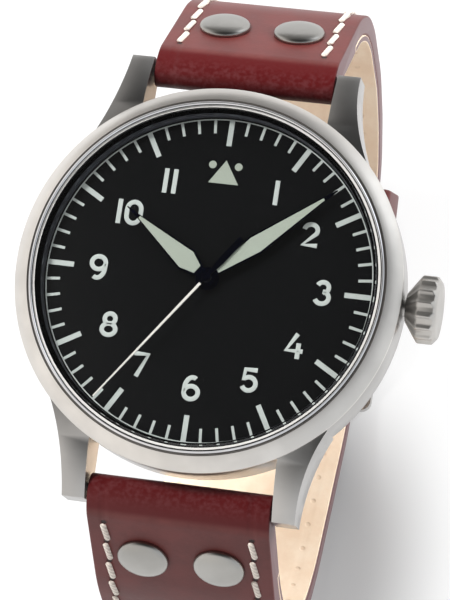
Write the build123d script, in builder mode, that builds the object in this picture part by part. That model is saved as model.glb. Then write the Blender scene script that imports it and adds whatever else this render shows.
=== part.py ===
from build123d import *
import math
import os

os.makedirs("parts", exist_ok=True)

# Pilot watch on a closed, buckled strap. Millimetres, +Z out of the dial, +Y to 12 o'clock,
# +X to the crown. The origin is on the hands' axis, in the plane that the buckle stands on.

# Driving sizes
case_radius = 21.0
dial_face_height = 49.6
strap_half_width = 10.0
strap_clearance = 0.2
bar_gap = 2.1
bar_drop = 3.4
running_clearance = 0.05
glue_line = 0.03
overrun = 1.0
half_circle = 180
full_circle = 360

# Places that follow from them
bar_reach = case_radius + bar_gap
lug_gap_half = strap_half_width + strap_clearance


def below(depth):
    """Height of a level that lies this deep under the dial's face."""
    return dial_face_height - depth


def on_circle(radius, clock_angle):
    """Point at a clock angle: degrees clockwise from 12 o'clock."""
    turn = math.radians(clock_angle)
    return (radius * math.sin(turn), radius * math.cos(turn))


def heading(start, end):
    """Angle of the direction from one point to another, in degrees from +X."""
    return math.degrees(math.atan2(end[1] - start[1], end[0] - start[0]))


# Case middle: its seats are set by the walls left outside them
flank_inset = 0.1
flank_depth = 4.6
flank_chamfer = 0.45
bezel_seat_rise = 0.7
dial_thickness = 0.4
dial_seat_wall = 2.85
case_bore_wall = 4.6
back_thread_wall = 2.4
dial_seat_radius = case_radius - dial_seat_wall
case_bore_radius = case_radius - case_bore_wall
back_thread_radius = case_radius - back_thread_wall
back_thread_length = 1.2
lug_root_wall = 1.53
lug_root_clock_angle = 41.88
lug_foot_clock_angle = 45.96
lug_tip_width = 2.5
lug_waist_width = 3.0
lug_waist_length = 4.6
lug_bar_wall = 1.5
lug_top_rise = 0.35
lug_crest_depth = 0.25
lug_tip_depth = 2.2
lug_tip_bottom_depth = 5.5
lug_under_length = 4.1
lug_under_depth = 5.3
lug_root_radius = case_radius - lug_root_wall
lug_root_x, lug_root_y = on_circle(lug_root_radius, lug_root_clock_angle)
lug_foot_x, lug_foot_y = on_circle(case_radius, lug_foot_clock_angle)
lug_root_inner_y = math.sqrt(lug_root_radius**2 - lug_gap_half**2)
lug_reach = bar_reach + lug_bar_wall
lug_tip_x = lug_gap_half + lug_tip_width
lug_waist = (lug_gap_half + lug_waist_width, lug_reach - lug_waist_length)
bar_pivot_radius = 0.4
bar_hole_depth = 1.0
crown_depth = 2.4
tube_radius = 1.0
tube_bore_radius = 0.62

# Side and plan outlines of one lug, crown side at 12 o'clock
with BuildPart() as lug_blank:
    with BuildSketch(Plane.XY.offset(below(lug_tip_bottom_depth + overrun))):
        with BuildLine():
            Polyline(
                (lug_root_x, lug_root_y),
                (lug_gap_half, lug_root_inner_y),
                (lug_gap_half, lug_reach),
                (lug_tip_x, lug_reach),
            )
            ThreePointArc((lug_tip_x, lug_reach), lug_waist, (lug_foot_x, lug_foot_y))
            Line((lug_foot_x, lug_foot_y), (lug_root_x, lug_root_y))
        make_face()
    extrude(amount=lug_tip_bottom_depth + lug_top_rise + 2 * overrun)
    with BuildSketch(Plane.YZ.offset(lug_gap_half)):
        with BuildLine():
            Line((lug_root_y, below(-lug_top_rise)), (lug_root_y + overrun, below(-lug_top_rise)))
            ThreePointArc(
                (lug_root_y + overrun, below(-lug_top_rise)),
                (lug_reach - lug_waist_length, below(lug_crest_depth)),
                (lug_reach, below(lug_tip_depth)),
            )
            Line((lug_reach, below(lug_tip_depth)), (lug_reach, below(lug_tip_bottom_depth)))
            ThreePointArc(
                (lug_reach, below(lug_tip_bottom_depth)),
                (lug_reach - lug_under_length, below(lug_under_depth)),
                (lug_root_y, below(flank_depth)),
            )
            Line((lug_root_y, below(flank_depth)), (lug_root_y, below(-lug_top_rise)))
        make_face()
    extrude(amount=lug_foot_x - lug_gap_half + overrun, mode=Mode.INTERSECT)

with BuildPart() as case_middle:
    with BuildSketch(Plane.XZ):
        with BuildLine():
            Polyline(
                (back_thread_radius, below(flank_depth)),
                (back_thread_radius, below(flank_depth - back_thread_length)),
                (case_bore_radius, below(flank_depth - back_thread_length)),
                (case_bore_radius, below(dial_thickness)),
                (dial_seat_radius, below(dial_thickness)),
                (dial_seat_radius, below(-bezel_seat_rise)),
                (case_radius - flank_inset, below(-bezel_seat_rise)),
                (case_radius - flank_inset, below(flank_depth - flank_chamfer)),
                (case_radius - flank_inset - flank_chamfer, below(flank_depth)),
                close=True,
            )
        make_face()
    revolve(axis=Axis.Z)
    add(lug_blank.part)
    add(lug_blank.part.mirror(Plane.YZ))
    add(lug_blank.part.mirror(Plane.XZ))
    add(lug_blank.part.mirror(Plane.YZ).mirror(Plane.XZ))
    for side in (-1, 1):
        with Locations(Plane(origin=(0, side * bar_reach, below(bar_drop)), z_dir=(1, 0, 0))):
            Cylinder(
                bar_pivot_radius + running_clearance,
                2 * (lug_gap_half + bar_hole_depth),
                mode=Mode.SUBTRACT,
            )
    with BuildSketch(Plane.YZ.offset(case_bore_radius - overrun)):
        with Locations((0, below(crown_depth))):
            Circle(tube_radius)
    extrude(amount=case_radius - case_bore_radius + 2 * overrun, mode=Mode.SUBTRACT)
case_middle.part.label = "case_middle"
export_step(case_middle.part, "parts/case_middle.step")

# Bezel, crystal and the ring that holds the dial down
bezel_edge_height = 0.3
bezel_slope_width = 1.63
groove_rise = 2.35
groove_width = 0.12
groove_depth = 0.15
bevel_rise = 2.6
bevel_width = 0.3
bezel_lip_width = 0.2
crystal_gasket_wall = 0.25
crystal_ledge_width = 0.6
flange_overhang = 0.25
rehaut_step = 0.05
groove_outer_radius = case_radius - bezel_slope_width
groove_radius = groove_outer_radius - groove_width
bevel_top_radius = groove_radius - bevel_width
crystal_seat_radius = bevel_top_radius - bezel_lip_width
crystal_radius = crystal_seat_radius - crystal_gasket_wall
flange_radius = min(dial_seat_radius - flange_overhang, crystal_radius - crystal_ledge_width)
rehaut_radius = flange_radius - rehaut_step
crystal_seat_rise = 1.5
crystal_edge_rise = 2.4
crystal_bevel = 0.25
crystal_top_rise = 3.3
crystal_under_rise = 2.25
dome_bands = 4
gasket_thickness = 0.2


def dome_line(reach, edge_rise, top_rise):
    """Section of a shallow dome, from its top to its edge, as chords too short to tell from its arc."""
    height = top_rise - edge_rise
    dome_radius = (reach**2 + height**2) / (2 * height)
    points = []
    for band in range(dome_bands + 1):
        out = reach * band / dome_bands
        points.append((out, below(dome_radius - top_rise - math.sqrt(dome_radius**2 - out**2))))
    return points

with BuildPart() as bezel:
    with BuildSketch(Plane.XZ):
        with BuildLine():
            Polyline(
                (flange_radius, below(-bezel_seat_rise)),
                (case_radius, below(-bezel_seat_rise)),
                (case_radius, below(-bezel_seat_rise - bezel_edge_height)),
                (groove_outer_radius, below(-groove_rise)),
                (groove_outer_radius, below(-groove_rise + groove_depth)),
                (groove_radius, below(-groove_rise + groove_depth)),
                (groove_radius, below(-groove_rise)),
                (bevel_top_radius, below(-bevel_rise)),
                (crystal_seat_radius, below(-crystal_edge_rise)),
                (crystal_seat_radius, below(-crystal_seat_rise)),
                (flange_radius, below(-crystal_seat_rise)),
                close=True,
            )
        make_face()
    revolve(axis=Axis.Z)
bezel.part.label = "bezel"
export_step(bezel.part, "parts/bezel.step")

with BuildPart() as crystal:
    with BuildSketch(Plane.XZ):
        with BuildLine():
            dome_edge = crystal_edge_rise + crystal_bevel
            Polyline(
                *dome_line(crystal_radius - crystal_bevel, dome_edge, crystal_top_rise),
                (crystal_radius, below(-crystal_edge_rise)),
                (crystal_radius, below(-crystal_seat_rise)),
                *reversed(dome_line(flange_radius, crystal_seat_rise, crystal_under_rise)),
                close=True,
            )
        make_face()
    revolve(axis=Axis.Z)
crystal.part.label = "crystal"
export_step(crystal.part, "parts/crystal.step")

with BuildPart() as crystal_gasket:
    with BuildSketch(Plane.XY.offset(below(-crystal_seat_rise))):
        Circle(crystal_seat_radius)
        Circle(crystal_radius, mode=Mode.SUBTRACT)
    extrude(amount=crystal_edge_rise - crystal_seat_rise - gasket_thickness)
crystal_gasket.part.label = "crystal_gasket"
export_step(crystal_gasket.part, "parts/crystal_gasket.step")

with BuildPart() as rehaut_ring:
    with BuildSketch(Plane.XY.offset(dial_face_height)):
        Circle(dial_seat_radius - glue_line)
        Circle(rehaut_radius, mode=Mode.SUBTRACT)
    extrude(amount=bezel_seat_rise)
rehaut_ring.part.label = "rehaut_ring"
export_step(rehaut_ring.part, "parts/rehaut_ring.step")

# Case back, screwed in from below, with the slots for its key
back_flange_width = 0.8
back_slope_width = 1.8
back_step_width = 0.7
back_gasket_inset = 0.2
back_flange_radius = back_thread_radius + back_flange_width
back_slope_radius = back_flange_radius - back_slope_width
back_face_radius = back_slope_radius - back_step_width
back_gasket_radius = back_flange_radius - back_gasket_inset
back_flange_height = 0.9
back_step_depth = 7.2
back_face_depth = 7.6
back_inner_depth = 6.8
back_wall = 1.6
key_slot_count = 6
key_slot_width = 2.2
key_slot_length = 1.3
key_slot_depth = 0.6
back_inner_radius = back_thread_radius - running_clearance - back_wall

with BuildPart() as case_back:
    with BuildSketch(Plane.XZ):
        with BuildLine():
            Polyline(
                (0, below(back_inner_depth)),
                (back_inner_radius, below(back_inner_depth)),
                (back_inner_radius, below(flank_depth - back_thread_length)),
                (back_thread_radius - running_clearance, below(flank_depth - back_thread_length)),
                (back_thread_radius - running_clearance, below(flank_depth + gasket_thickness)),
                (back_flange_radius, below(flank_depth + gasket_thickness)),
                (back_flange_radius, below(flank_depth + gasket_thickness + back_flange_height)),
                (back_slope_radius, below(back_step_depth)),
                (back_face_radius, below(back_face_depth)),
                (0, below(back_face_depth)),
                close=True,
            )
        make_face()
    revolve(axis=Axis.Z)
    with BuildSketch(Plane.XY.offset(below(back_face_depth))):
        with PolarLocations(back_face_radius, key_slot_count):
            Rectangle(key_slot_length, key_slot_width)
    extrude(amount=key_slot_depth, mode=Mode.SUBTRACT)
case_back.part.label = "case_back"
export_step(case_back.part, "parts/case_back.step")

with BuildPart() as back_gasket:
    with BuildSketch(Plane.XY.offset(below(flank_depth))):
        Circle(back_gasket_radius)
        Circle(back_thread_radius, mode=Mode.SUBTRACT)
    extrude(amount=-gasket_thickness)
back_gasket.part.label = "back_gasket"
export_step(back_gasket.part, "parts/back_gasket.step")

# Dial with its minute track
dial_clearance = 0.2
track_gap = 0.15
dial_hole_radius = 1.1
print_thickness = 0.04
dial_radius = dial_seat_radius - dial_clearance
track_radius = rehaut_radius - track_gap
track_line = 0.12
minute_count = 60
hour_count = 12
minute_bar_length = 1.5
minute_bar_width = 0.3
hour_bar_length = 2.85
hour_bar_width = 0.56
triangle_inset = 4.5
triangle_height = 2.6
triangle_half_width = 1.65
dot_x = 1.42
dot_drop = 0.6
dot_radius = 0.42
triangle_apex_radius = track_radius - triangle_inset
triangle_base_radius = triangle_apex_radius - triangle_height
dot_y = triangle_apex_radius - dot_drop

with BuildPart() as dial:
    with BuildSketch(Plane.XY.offset(dial_face_height)):
        Circle(dial_radius)
        Circle(dial_hole_radius, mode=Mode.SUBTRACT)
    extrude(amount=-dial_thickness)
dial.part.label = "dial"
export_step(dial.part, "parts/dial.step")

with BuildPart() as minute_track:
    with BuildSketch(Plane.XY.offset(dial_face_height)):
        Circle(track_radius)
        Circle(track_radius - track_line, mode=Mode.SUBTRACT)
        for minute in range(minute_count):
            is_hour = minute % (minute_count // hour_count) == 0
            length = hour_bar_length if is_hour else minute_bar_length
            width = hour_bar_width if is_hour else minute_bar_width
            clock_angle = full_circle * minute / minute_count
            place = on_circle(track_radius - track_line / 2 - length / 2, clock_angle)
            with Locations(Location((*place, 0), (0, 0, -clock_angle))):
                Rectangle(width, length)
    extrude(amount=print_thickness)
minute_track.part.label = "minute_track"
export_step(minute_track.part, "parts/minute_track.step")

with BuildPart() as noon_marker:
    with BuildSketch(Plane.XY.offset(dial_face_height)):
        Polygon(
            (-triangle_half_width, triangle_base_radius),
            (triangle_half_width, triangle_base_radius),
            (0, triangle_apex_radius),
            align=None,
        )
        with Locations((-dot_x, dot_y), (dot_x, dot_y)):
            Circle(dot_radius)
    extrude(amount=print_thickness)
noon_marker.part.label = "noon_marker"
export_step(noon_marker.part, "parts/noon_marker.step")

# Hands, set to the time in the photograph
hour_clock_angle = 304.9
minute_clock_angle = 49.0
seconds_clock_angle = 215.5
hand_thickness = 0.16
lume_thickness = 0.06
seconds_arbor_radius = 0.16
centre_arbor_bore = 0.21
centre_arbor_radius = 0.36
cannon_bore = 0.38
cannon_radius = 0.55
hour_pipe_bore = 0.6
hour_pipe_radius = 0.8
hour_hand_rise = 0.45
minute_hand_rise = 0.95
seconds_hand_rise = 1.25


def lozenge(stations):
    """Outline of a hand that points to 12: (distance from the axis, half width) pairs, mirrored."""
    right_side = [(half_width, reach) for reach, half_width in stations]
    left_side = [(-half_width, reach) for reach, half_width in reversed(stations)]
    return right_side + left_side


hour_hub_radius = 1.25
hour_neck_reach = 1.1
hour_neck_half = 0.62
hour_belly_reach = 3.1
hour_belly_half = 1.3
hour_point_length = 1.8
hour_waist_half = 0.24
hour_tip_inset = 5.7
hour_tip_half = 0.06
hour_tip_reach = track_radius - hour_tip_inset
hour_waist_reach = hour_tip_reach - hour_point_length
minute_hub_radius = 0.95
minute_neck_reach = 0.85
minute_neck_half = 0.42
minute_belly_reach = 6.3
minute_belly_half = 1.12
minute_point_length = 1.7
minute_waist_half = 0.22
minute_tip_inset = 1.0
minute_tip_half = 0.06
minute_tip_reach = track_radius - minute_tip_inset
minute_waist_reach = minute_tip_reach - minute_point_length
lume_border = 0.2
hour_lume_start = 1.5
minute_lume_start = 1.35
seconds_hub_radius = 0.5
seconds_neck_half = 0.14
seconds_tip_inset = 0.3
seconds_tip_reach = track_radius - seconds_tip_inset
seconds_tip_half = 0.07
seconds_tail_reach = 5.6
seconds_tail_half = 0.36
seconds_tail_start = 2.2

hour_stations = [
    (hour_neck_reach, hour_neck_half),
    (hour_belly_reach, hour_belly_half),
    (hour_waist_reach, hour_waist_half),
    (hour_tip_reach, hour_tip_half),
]
minute_stations = [
    (minute_neck_reach, minute_neck_half),
    (minute_belly_reach, minute_belly_half),
    (minute_waist_reach, minute_waist_half),
    (minute_tip_reach, minute_tip_half),
]
hour_lume_stations = [
    (hour_lume_start, hour_neck_half - lume_border / 2),
    (hour_belly_reach, hour_belly_half - lume_border),
    (hour_waist_reach, hour_waist_half - lume_border / 2),
]
minute_lume_stations = [
    (minute_lume_start, minute_neck_half - lume_border / 2),
    (minute_belly_reach, minute_belly_half - lume_border),
    (minute_waist_reach, minute_waist_half - lume_border / 2),
]

with BuildPart() as hour_hand:
    with BuildSketch(Plane.XY.offset(below(-hour_hand_rise))):
        Circle(hour_hub_radius)
        with Locations(Location((0, 0, 0), (0, 0, -hour_clock_angle))):
            Polygon(*lozenge(hour_stations), align=None)
        Circle(hour_pipe_radius, mode=Mode.SUBTRACT)
    extrude(amount=hand_thickness)
hour_hand.part.label = "hour_hand"
export_step(hour_hand.part, "parts/hour_hand.step")

with BuildPart() as hour_hand_lume:
    with BuildSketch(Plane.XY.offset(below(-hour_hand_rise - hand_thickness))):
        with Locations(Location((0, 0, 0), (0, 0, -hour_clock_angle))):
            Polygon(*lozenge(hour_lume_stations), align=None)
    extrude(amount=lume_thickness)
hour_hand_lume.part.label = "hour_hand_lume"
export_step(hour_hand_lume.part, "parts/hour_hand_lume.step")

with BuildPart() as minute_hand:
    with BuildSketch(Plane.XY.offset(below(-minute_hand_rise))):
        Circle(minute_hub_radius)
        with Locations(Location((0, 0, 0), (0, 0, -minute_clock_angle))):
            Polygon(*lozenge(minute_stations), align=None)
        Circle(cannon_radius, mode=Mode.SUBTRACT)
    extrude(amount=hand_thickness)
minute_hand.part.label = "minute_hand"
export_step(minute_hand.part, "parts/minute_hand.step")

with BuildPart() as minute_hand_lume:
    with BuildSketch(Plane.XY.offset(below(-minute_hand_rise - hand_thickness))):
        with Locations(Location((0, 0, 0), (0, 0, -minute_clock_angle))):
            Polygon(*lozenge(minute_lume_stations), align=None)
    extrude(amount=lume_thickness)
minute_hand_lume.part.label = "minute_hand_lume"
export_step(minute_hand_lume.part, "parts/minute_hand_lume.step")

with BuildPart() as seconds_hand:
    with BuildSketch(Plane.XY.offset(below(-seconds_hand_rise))):
        Circle(seconds_hub_radius)
        with Locations(Location((0, 0, 0), (0, 0, -seconds_clock_angle))):
            Polygon(
                *lozenge([(0, seconds_neck_half), (seconds_tip_reach, seconds_tip_half)]),
                align=None,
            )
            Polygon(
                *lozenge(
                    [
                        (-seconds_tail_reach, seconds_tail_half),
                        (-seconds_tail_start, seconds_tail_half),
                        (0, seconds_neck_half),
                    ]
                ),
                align=None,
            )
    extrude(amount=hand_thickness)
seconds_hand.part.label = "seconds_hand"
export_step(seconds_hand.part, "parts/seconds_hand.step")

# Gear teeth: straight-sided, with the tips and the roots at shares of the module from the pitch circle
addendum_share = 0.75
dedendum_share = 1.25


def toothed_outline(teeth, module, tooth_angle):
    """Corners of a gear about its own axis, with one tooth's tip along tooth_angle, degrees from +X."""
    tip_radius = module * (teeth / 2 + addendum_share)
    root_radius = module * (teeth / 2 - dedendum_share)
    corners = []
    for tooth in range(teeth):
        for radius, half_steps in ((tip_radius, 0), (root_radius, 1)):
            turn = math.radians(tooth_angle + half_circle * (2 * tooth + half_steps) / teeth)
            corners.append((radius * math.cos(turn), radius * math.sin(turn)))
    return corners


def gap_towards(direction, teeth):
    """Tooth angle that puts the gap between two teeth along a direction."""
    return direction + half_circle / teeth


# Going train: centre wheel, third wheel, fourth wheel (which carries the seconds hand), escape wheel
train_centre_distance = 4.25
escape_centre_distance = 3.9
barrel_centre_distance = 6.65
centre_wheel_teeth = 64
third_pinion_teeth = 8
third_wheel_teeth = 60
fourth_pinion_teeth = 8
fourth_wheel_teeth = 72
escape_pinion_teeth = 6
barrel_teeth = 60
centre_pinion_teeth = 10
centre_module = 2 * train_centre_distance / (centre_wheel_teeth + third_pinion_teeth)
third_module = 2 * train_centre_distance / (third_wheel_teeth + fourth_pinion_teeth)
escape_module = 2 * escape_centre_distance / (fourth_wheel_teeth + escape_pinion_teeth)
barrel_module = 2 * barrel_centre_distance / (barrel_teeth + centre_pinion_teeth)
centre_axis = (0, 0)
third_clock_angle = 150
escape_clock_angle = 230
third_axis = on_circle(train_centre_distance, third_clock_angle)
escape_axis = on_circle(escape_centre_distance, escape_clock_angle)
barrel_axis = (0, barrel_centre_distance)
to_third = heading(centre_axis, third_axis)
to_escape = heading(centre_axis, escape_axis)
to_barrel = heading(centre_axis, barrel_axis)

# Motion work under the dial: cannon pinion, minute wheel, hour wheel
motion_centre_distance = 3.0
cannon_pinion_teeth = 10
minute_wheel_teeth = 30
minute_pinion_teeth = 8
hour_wheel_teeth = 32
cannon_module = 2 * motion_centre_distance / (cannon_pinion_teeth + minute_wheel_teeth)
hour_module = 2 * motion_centre_distance / (minute_pinion_teeth + hour_wheel_teeth)
minute_wheel_clock_angle = 20
minute_axis = on_circle(motion_centre_distance, minute_wheel_clock_angle)
to_minute = heading(centre_axis, minute_axis)

# Depths under the dial's face of each layer of the movement, top face first
wheel_thickness = 0.2
hour_wheel_depth = 0.55
minute_pinion_depth = 0.5
minute_wheel_depth = 0.95
cannon_teeth_depth = 0.9
plate_depth = 1.35
plate_thickness = 1.6
centre_wheel_depth = 3.05
centre_pinion_depth = 3.35
centre_pinion_length = 0.75
third_pinion_depth = 3.0
third_pinion_length = 0.32
third_wheel_depth = 4.25
fourth_pinion_depth = 4.2
fourth_pinion_length = 0.38
fourth_wheel_depth = 4.7
escape_pinion_depth = 4.62
escape_pinion_length = 0.35
escape_wheel_depth = 3.75
barrel_teeth_depth = 3.5
barrel_teeth_height = 0.35
barrel_depth = 3.35
barrel_height = 1.15
bridge_depth = 5.05
bridge_thickness = 0.7
pivot_radius = 0.12
arbor_radius = 0.2
pivot_engagement = 0.3
plate_bottom = plate_depth + plate_thickness

with BuildPart() as hour_wheel:
    with BuildSketch(Plane.XY.offset(below(hour_wheel_depth))):
        Polygon(*toothed_outline(hour_wheel_teeth, hour_module, to_minute), align=None)
        Circle(hour_pipe_bore, mode=Mode.SUBTRACT)
    extrude(amount=-wheel_thickness)
    with BuildSketch(Plane.XY.offset(below(hour_wheel_depth))):
        Circle(hour_pipe_radius)
        Circle(hour_pipe_bore, mode=Mode.SUBTRACT)
    extrude(amount=hour_wheel_depth + hour_hand_rise + hand_thickness)
hour_wheel.part.label = "hour_wheel"
export_step(hour_wheel.part, "parts/hour_wheel.step")

with BuildPart() as cannon_pinion:
    with BuildSketch(Plane.XY.offset(below(cannon_teeth_depth))):
        Polygon(
            *toothed_outline(
                cannon_pinion_teeth, cannon_module, gap_towards(to_minute, cannon_pinion_teeth)
            ),
            align=None,
        )
        Circle(cannon_bore, mode=Mode.SUBTRACT)
    extrude(amount=cannon_teeth_depth - plate_depth + running_clearance)
    with BuildSketch(Plane.XY.offset(below(cannon_teeth_depth))):
        Circle(cannon_radius)
        Circle(cannon_bore, mode=Mode.SUBTRACT)
    extrude(amount=cannon_teeth_depth + minute_hand_rise + hand_thickness)
cannon_pinion.part.label = "cannon_pinion"
export_step(cannon_pinion.part, "parts/cannon_pinion.step")

with BuildPart() as minute_wheel:
    with BuildSketch(Plane.XY.offset(below(minute_wheel_depth))):
        with Locations(minute_axis):
            Polygon(
                *toothed_outline(minute_wheel_teeth, cannon_module, to_minute + half_circle),
                align=None,
            )
    extrude(amount=-wheel_thickness)
    with BuildSketch(Plane.XY.offset(below(minute_pinion_depth))):
        with Locations(minute_axis):
            Polygon(
                *toothed_outline(
                    minute_pinion_teeth,
                    hour_module,
                    gap_towards(to_minute + half_circle, minute_pinion_teeth),
                ),
                align=None,
            )
    extrude(amount=minute_pinion_depth - minute_wheel_depth)
    with BuildSketch(Plane.XY.offset(below(minute_wheel_depth))):
        with Locations(minute_axis):
            Circle(arbor_radius)
    extrude(amount=minute_wheel_depth - plate_depth - pivot_engagement)
minute_wheel.part.label = "minute_wheel"
export_step(minute_wheel.part, "parts/minute_wheel.step")

with BuildPart() as centre_wheel:
    with BuildSketch(Plane.XY.offset(below(centre_wheel_depth))):
        Polygon(*toothed_outline(centre_wheel_teeth, centre_module, to_third), align=None)
    extrude(amount=-wheel_thickness)
    with BuildSketch(Plane.XY.offset(below(centre_pinion_depth))):
        Polygon(
            *toothed_outline(
                centre_pinion_teeth, barrel_module, gap_towards(to_barrel, centre_pinion_teeth)
            ),
            align=None,
        )
    extrude(amount=-centre_pinion_length)
    with BuildSketch(Plane.XY.offset(below(-minute_hand_rise - hand_thickness))):
        Circle(centre_arbor_radius)
    extrude(amount=-minute_hand_rise - hand_thickness - centre_pinion_depth)
    with BuildSketch(Plane.XY.offset(below(-minute_hand_rise - hand_thickness))):
        Circle(centre_arbor_bore)
    extrude(
        amount=-seconds_hand_rise - centre_pinion_depth - centre_pinion_length - overrun,
        mode=Mode.SUBTRACT,
    )
centre_wheel.part.label = "centre_wheel"
export_step(centre_wheel.part, "parts/centre_wheel.step")

with BuildPart() as third_wheel:
    with BuildSketch(Plane.XY.offset(below(third_pinion_depth))):
        with Locations(third_axis):
            Polygon(
                *toothed_outline(
                    third_pinion_teeth,
                    centre_module,
                    gap_towards(to_third + half_circle, third_pinion_teeth),
                ),
                align=None,
            )
    extrude(amount=-third_pinion_length)
    with BuildSketch(Plane.XY.offset(below(third_wheel_depth))):
        with Locations(third_axis):
            Polygon(
                *toothed_outline(third_wheel_teeth, third_module, to_third + half_circle),
                align=None,
            )
    extrude(amount=-wheel_thickness)
    with BuildSketch(Plane.XY.offset(below(third_pinion_depth))):
        with Locations(third_axis):
            Circle(arbor_radius)
    extrude(amount=third_pinion_depth - bridge_depth + running_clearance)
    with BuildSketch(Plane.XY.offset(below(plate_bottom - pivot_engagement))):
        with Locations(third_axis):
            Circle(pivot_radius)
    extrude(amount=plate_bottom - bridge_depth - 2 * pivot_engagement)
third_wheel.part.label = "third_wheel"
export_step(third_wheel.part, "parts/third_wheel.step")

with BuildPart() as fourth_wheel:
    with BuildSketch(Plane.XY.offset(below(fourth_pinion_depth))):
        Polygon(
            *toothed_outline(
                fourth_pinion_teeth, third_module, gap_towards(to_third, fourth_pinion_teeth)
            ),
            align=None,
        )
    extrude(amount=-fourth_pinion_length)
    with BuildSketch(Plane.XY.offset(below(fourth_wheel_depth))):
        Polygon(*toothed_outline(fourth_wheel_teeth, escape_module, to_escape), align=None)
    extrude(amount=-wheel_thickness)
    with BuildSketch(Plane.XY.offset(below(-seconds_hand_rise))):
        Circle(seconds_arbor_radius)
    extrude(amount=-seconds_hand_rise - bridge_depth - pivot_engagement)
fourth_wheel.part.label = "fourth_wheel"
export_step(fourth_wheel.part, "parts/fourth_wheel.step")

# Escapement: escape wheel, pallet fork, balance and hairspring
escape_teeth = 15
escape_tip_radius = 2.1
escape_root_radius = 1.6
escape_rake_share = 0.35
pallet_distance = 2.75
balance_distance = 8.9
balance_clock_angle = 235
balance_axis = on_circle(balance_distance, balance_clock_angle)
balance_rim_radius = 3.6
balance_rim_width = 0.45
balance_arm_width = 0.4
balance_depth = 4.45
balance_height = 0.4
roller_depth = 4.05
roller_radius = 0.85
roller_thickness = 0.15
impulse_pin_radius = 0.1
impulse_pin_orbit = 0.6
pallet_stone_radius = 2.42
pallet_span_degrees = 30
pallet_stone_width = 0.22
pallet_stone_length = 0.4
pallet_arm_half = 0.16
fork_length = 1.7
fork_half_width = 0.32
fork_notch_half = 0.12
fork_notch_length = 0.35
to_balance = heading(escape_axis, balance_axis)


def along(start, angle, distance):
    """Point at a distance from another, in a direction given in degrees from +X."""
    turn = math.radians(angle)
    return (start[0] + distance * math.cos(turn), start[1] + distance * math.sin(turn))


pallet_axis = along(escape_axis, to_balance, pallet_distance)

escape_outline = []
for tooth in range(escape_teeth):
    pitch_angle = full_circle / escape_teeth
    tip = along((0, 0), pitch_angle * tooth, escape_tip_radius)
    root = along((0, 0), pitch_angle * (tooth + escape_rake_share), escape_root_radius)
    escape_outline += [tip, root]

with BuildPart() as escape_wheel:
    with BuildSketch(Plane.XY.offset(below(escape_wheel_depth))):
        with Locations(escape_axis):
            Polygon(*escape_outline, align=None)
    extrude(amount=-wheel_thickness)
    with BuildSketch(Plane.XY.offset(below(escape_pinion_depth))):
        with Locations(escape_axis):
            Polygon(
                *toothed_outline(
                    escape_pinion_teeth,
                    escape_module,
                    gap_towards(to_escape + half_circle, escape_pinion_teeth),
                ),
                align=None,
            )
    extrude(amount=-escape_pinion_length)
    with BuildSketch(Plane.XY.offset(below(plate_bottom - pivot_engagement))):
        with Locations(escape_axis):
            Circle(pivot_radius)
    extrude(amount=plate_bottom - bridge_depth - 2 * pivot_engagement)
escape_wheel.part.label = "escape_wheel"
export_step(escape_wheel.part, "parts/escape_wheel.step")

fork_plane = Plane(
    origin=(*pallet_axis, below(escape_wheel_depth)),
    x_dir=(math.cos(math.radians(to_balance)), math.sin(math.radians(to_balance)), 0),
    z_dir=(0, 0, 1),
)
stone_x = pallet_stone_radius * math.cos(math.radians(pallet_span_degrees)) - pallet_distance
stone_y = pallet_stone_radius * math.sin(math.radians(pallet_span_degrees))
pallet_bridge_depth = 4.05
pallet_bridge_thickness = 0.3

with BuildPart() as pallet_fork:
    with BuildSketch(fork_plane):
        Polygon(
            (0, pallet_arm_half),
            (fork_length - fork_notch_length, pallet_arm_half),
            (fork_length - fork_notch_length, fork_half_width),
            (fork_length, fork_half_width),
            (fork_length, fork_notch_half),
            (fork_length - fork_notch_length, fork_notch_half),
            (fork_length - fork_notch_length, -fork_notch_half),
            (fork_length, -fork_notch_half),
            (fork_length, -fork_half_width),
            (fork_length - fork_notch_length, -fork_half_width),
            (fork_length - fork_notch_length, -pallet_arm_half),
            (0, -pallet_arm_half),
            (stone_x + pallet_stone_length / 2, -stone_y),
            (stone_x, -stone_y - pallet_stone_width / 2),
            (-pallet_arm_half, 0),
            (stone_x, stone_y + pallet_stone_width / 2),
            (stone_x + pallet_stone_length / 2, stone_y),
            align=None,
        )
    extrude(amount=-wheel_thickness)
    with BuildSketch(Plane.XY.offset(below(plate_bottom - pivot_engagement))):
        with Locations(pallet_axis):
            Circle(pivot_radius)
    extrude(amount=plate_bottom - pallet_bridge_depth - 2 * pivot_engagement)
pallet_fork.part.label = "pallet_fork"
export_step(pallet_fork.part, "parts/pallet_fork.step")

cock_depth = 5.4
cock_thickness = 0.6
with BuildPart() as balance_wheel:
    with BuildSketch(Plane.XY.offset(below(balance_depth))):
        with Locations(balance_axis):
            Circle(balance_rim_radius)
            Circle(balance_rim_radius - balance_rim_width, mode=Mode.SUBTRACT)
            Rectangle(2 * balance_rim_radius - balance_rim_width, balance_arm_width)
            Circle(roller_radius)
    extrude(amount=-balance_height)
    with BuildSketch(Plane.XY.offset(below(roller_depth))):
        with Locations(balance_axis):
            Circle(roller_radius)
    extrude(amount=-roller_thickness)
    with BuildSketch(Plane.XY.offset(below(roller_depth - running_clearance))):
        with Locations(along(balance_axis, to_balance + half_circle, impulse_pin_orbit)):
            Circle(impulse_pin_radius)
    extrude(amount=-running_clearance - roller_thickness)
    with BuildSketch(Plane.XY.offset(below(plate_bottom - pivot_engagement))):
        with Locations(balance_axis):
            Circle(pivot_radius)
    extrude(amount=plate_bottom - cock_depth - 2 * pivot_engagement)
balance_wheel.part.label = "balance_wheel"
export_step(balance_wheel.part, "parts/balance_wheel.step")

hairspring_depth = 5.05
hairspring_height = 0.12
hairspring_start_radius = 0.5
hairspring_half_turns = 7
hairspring_step = 0.25
hairspring_blade = 0.08

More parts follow.
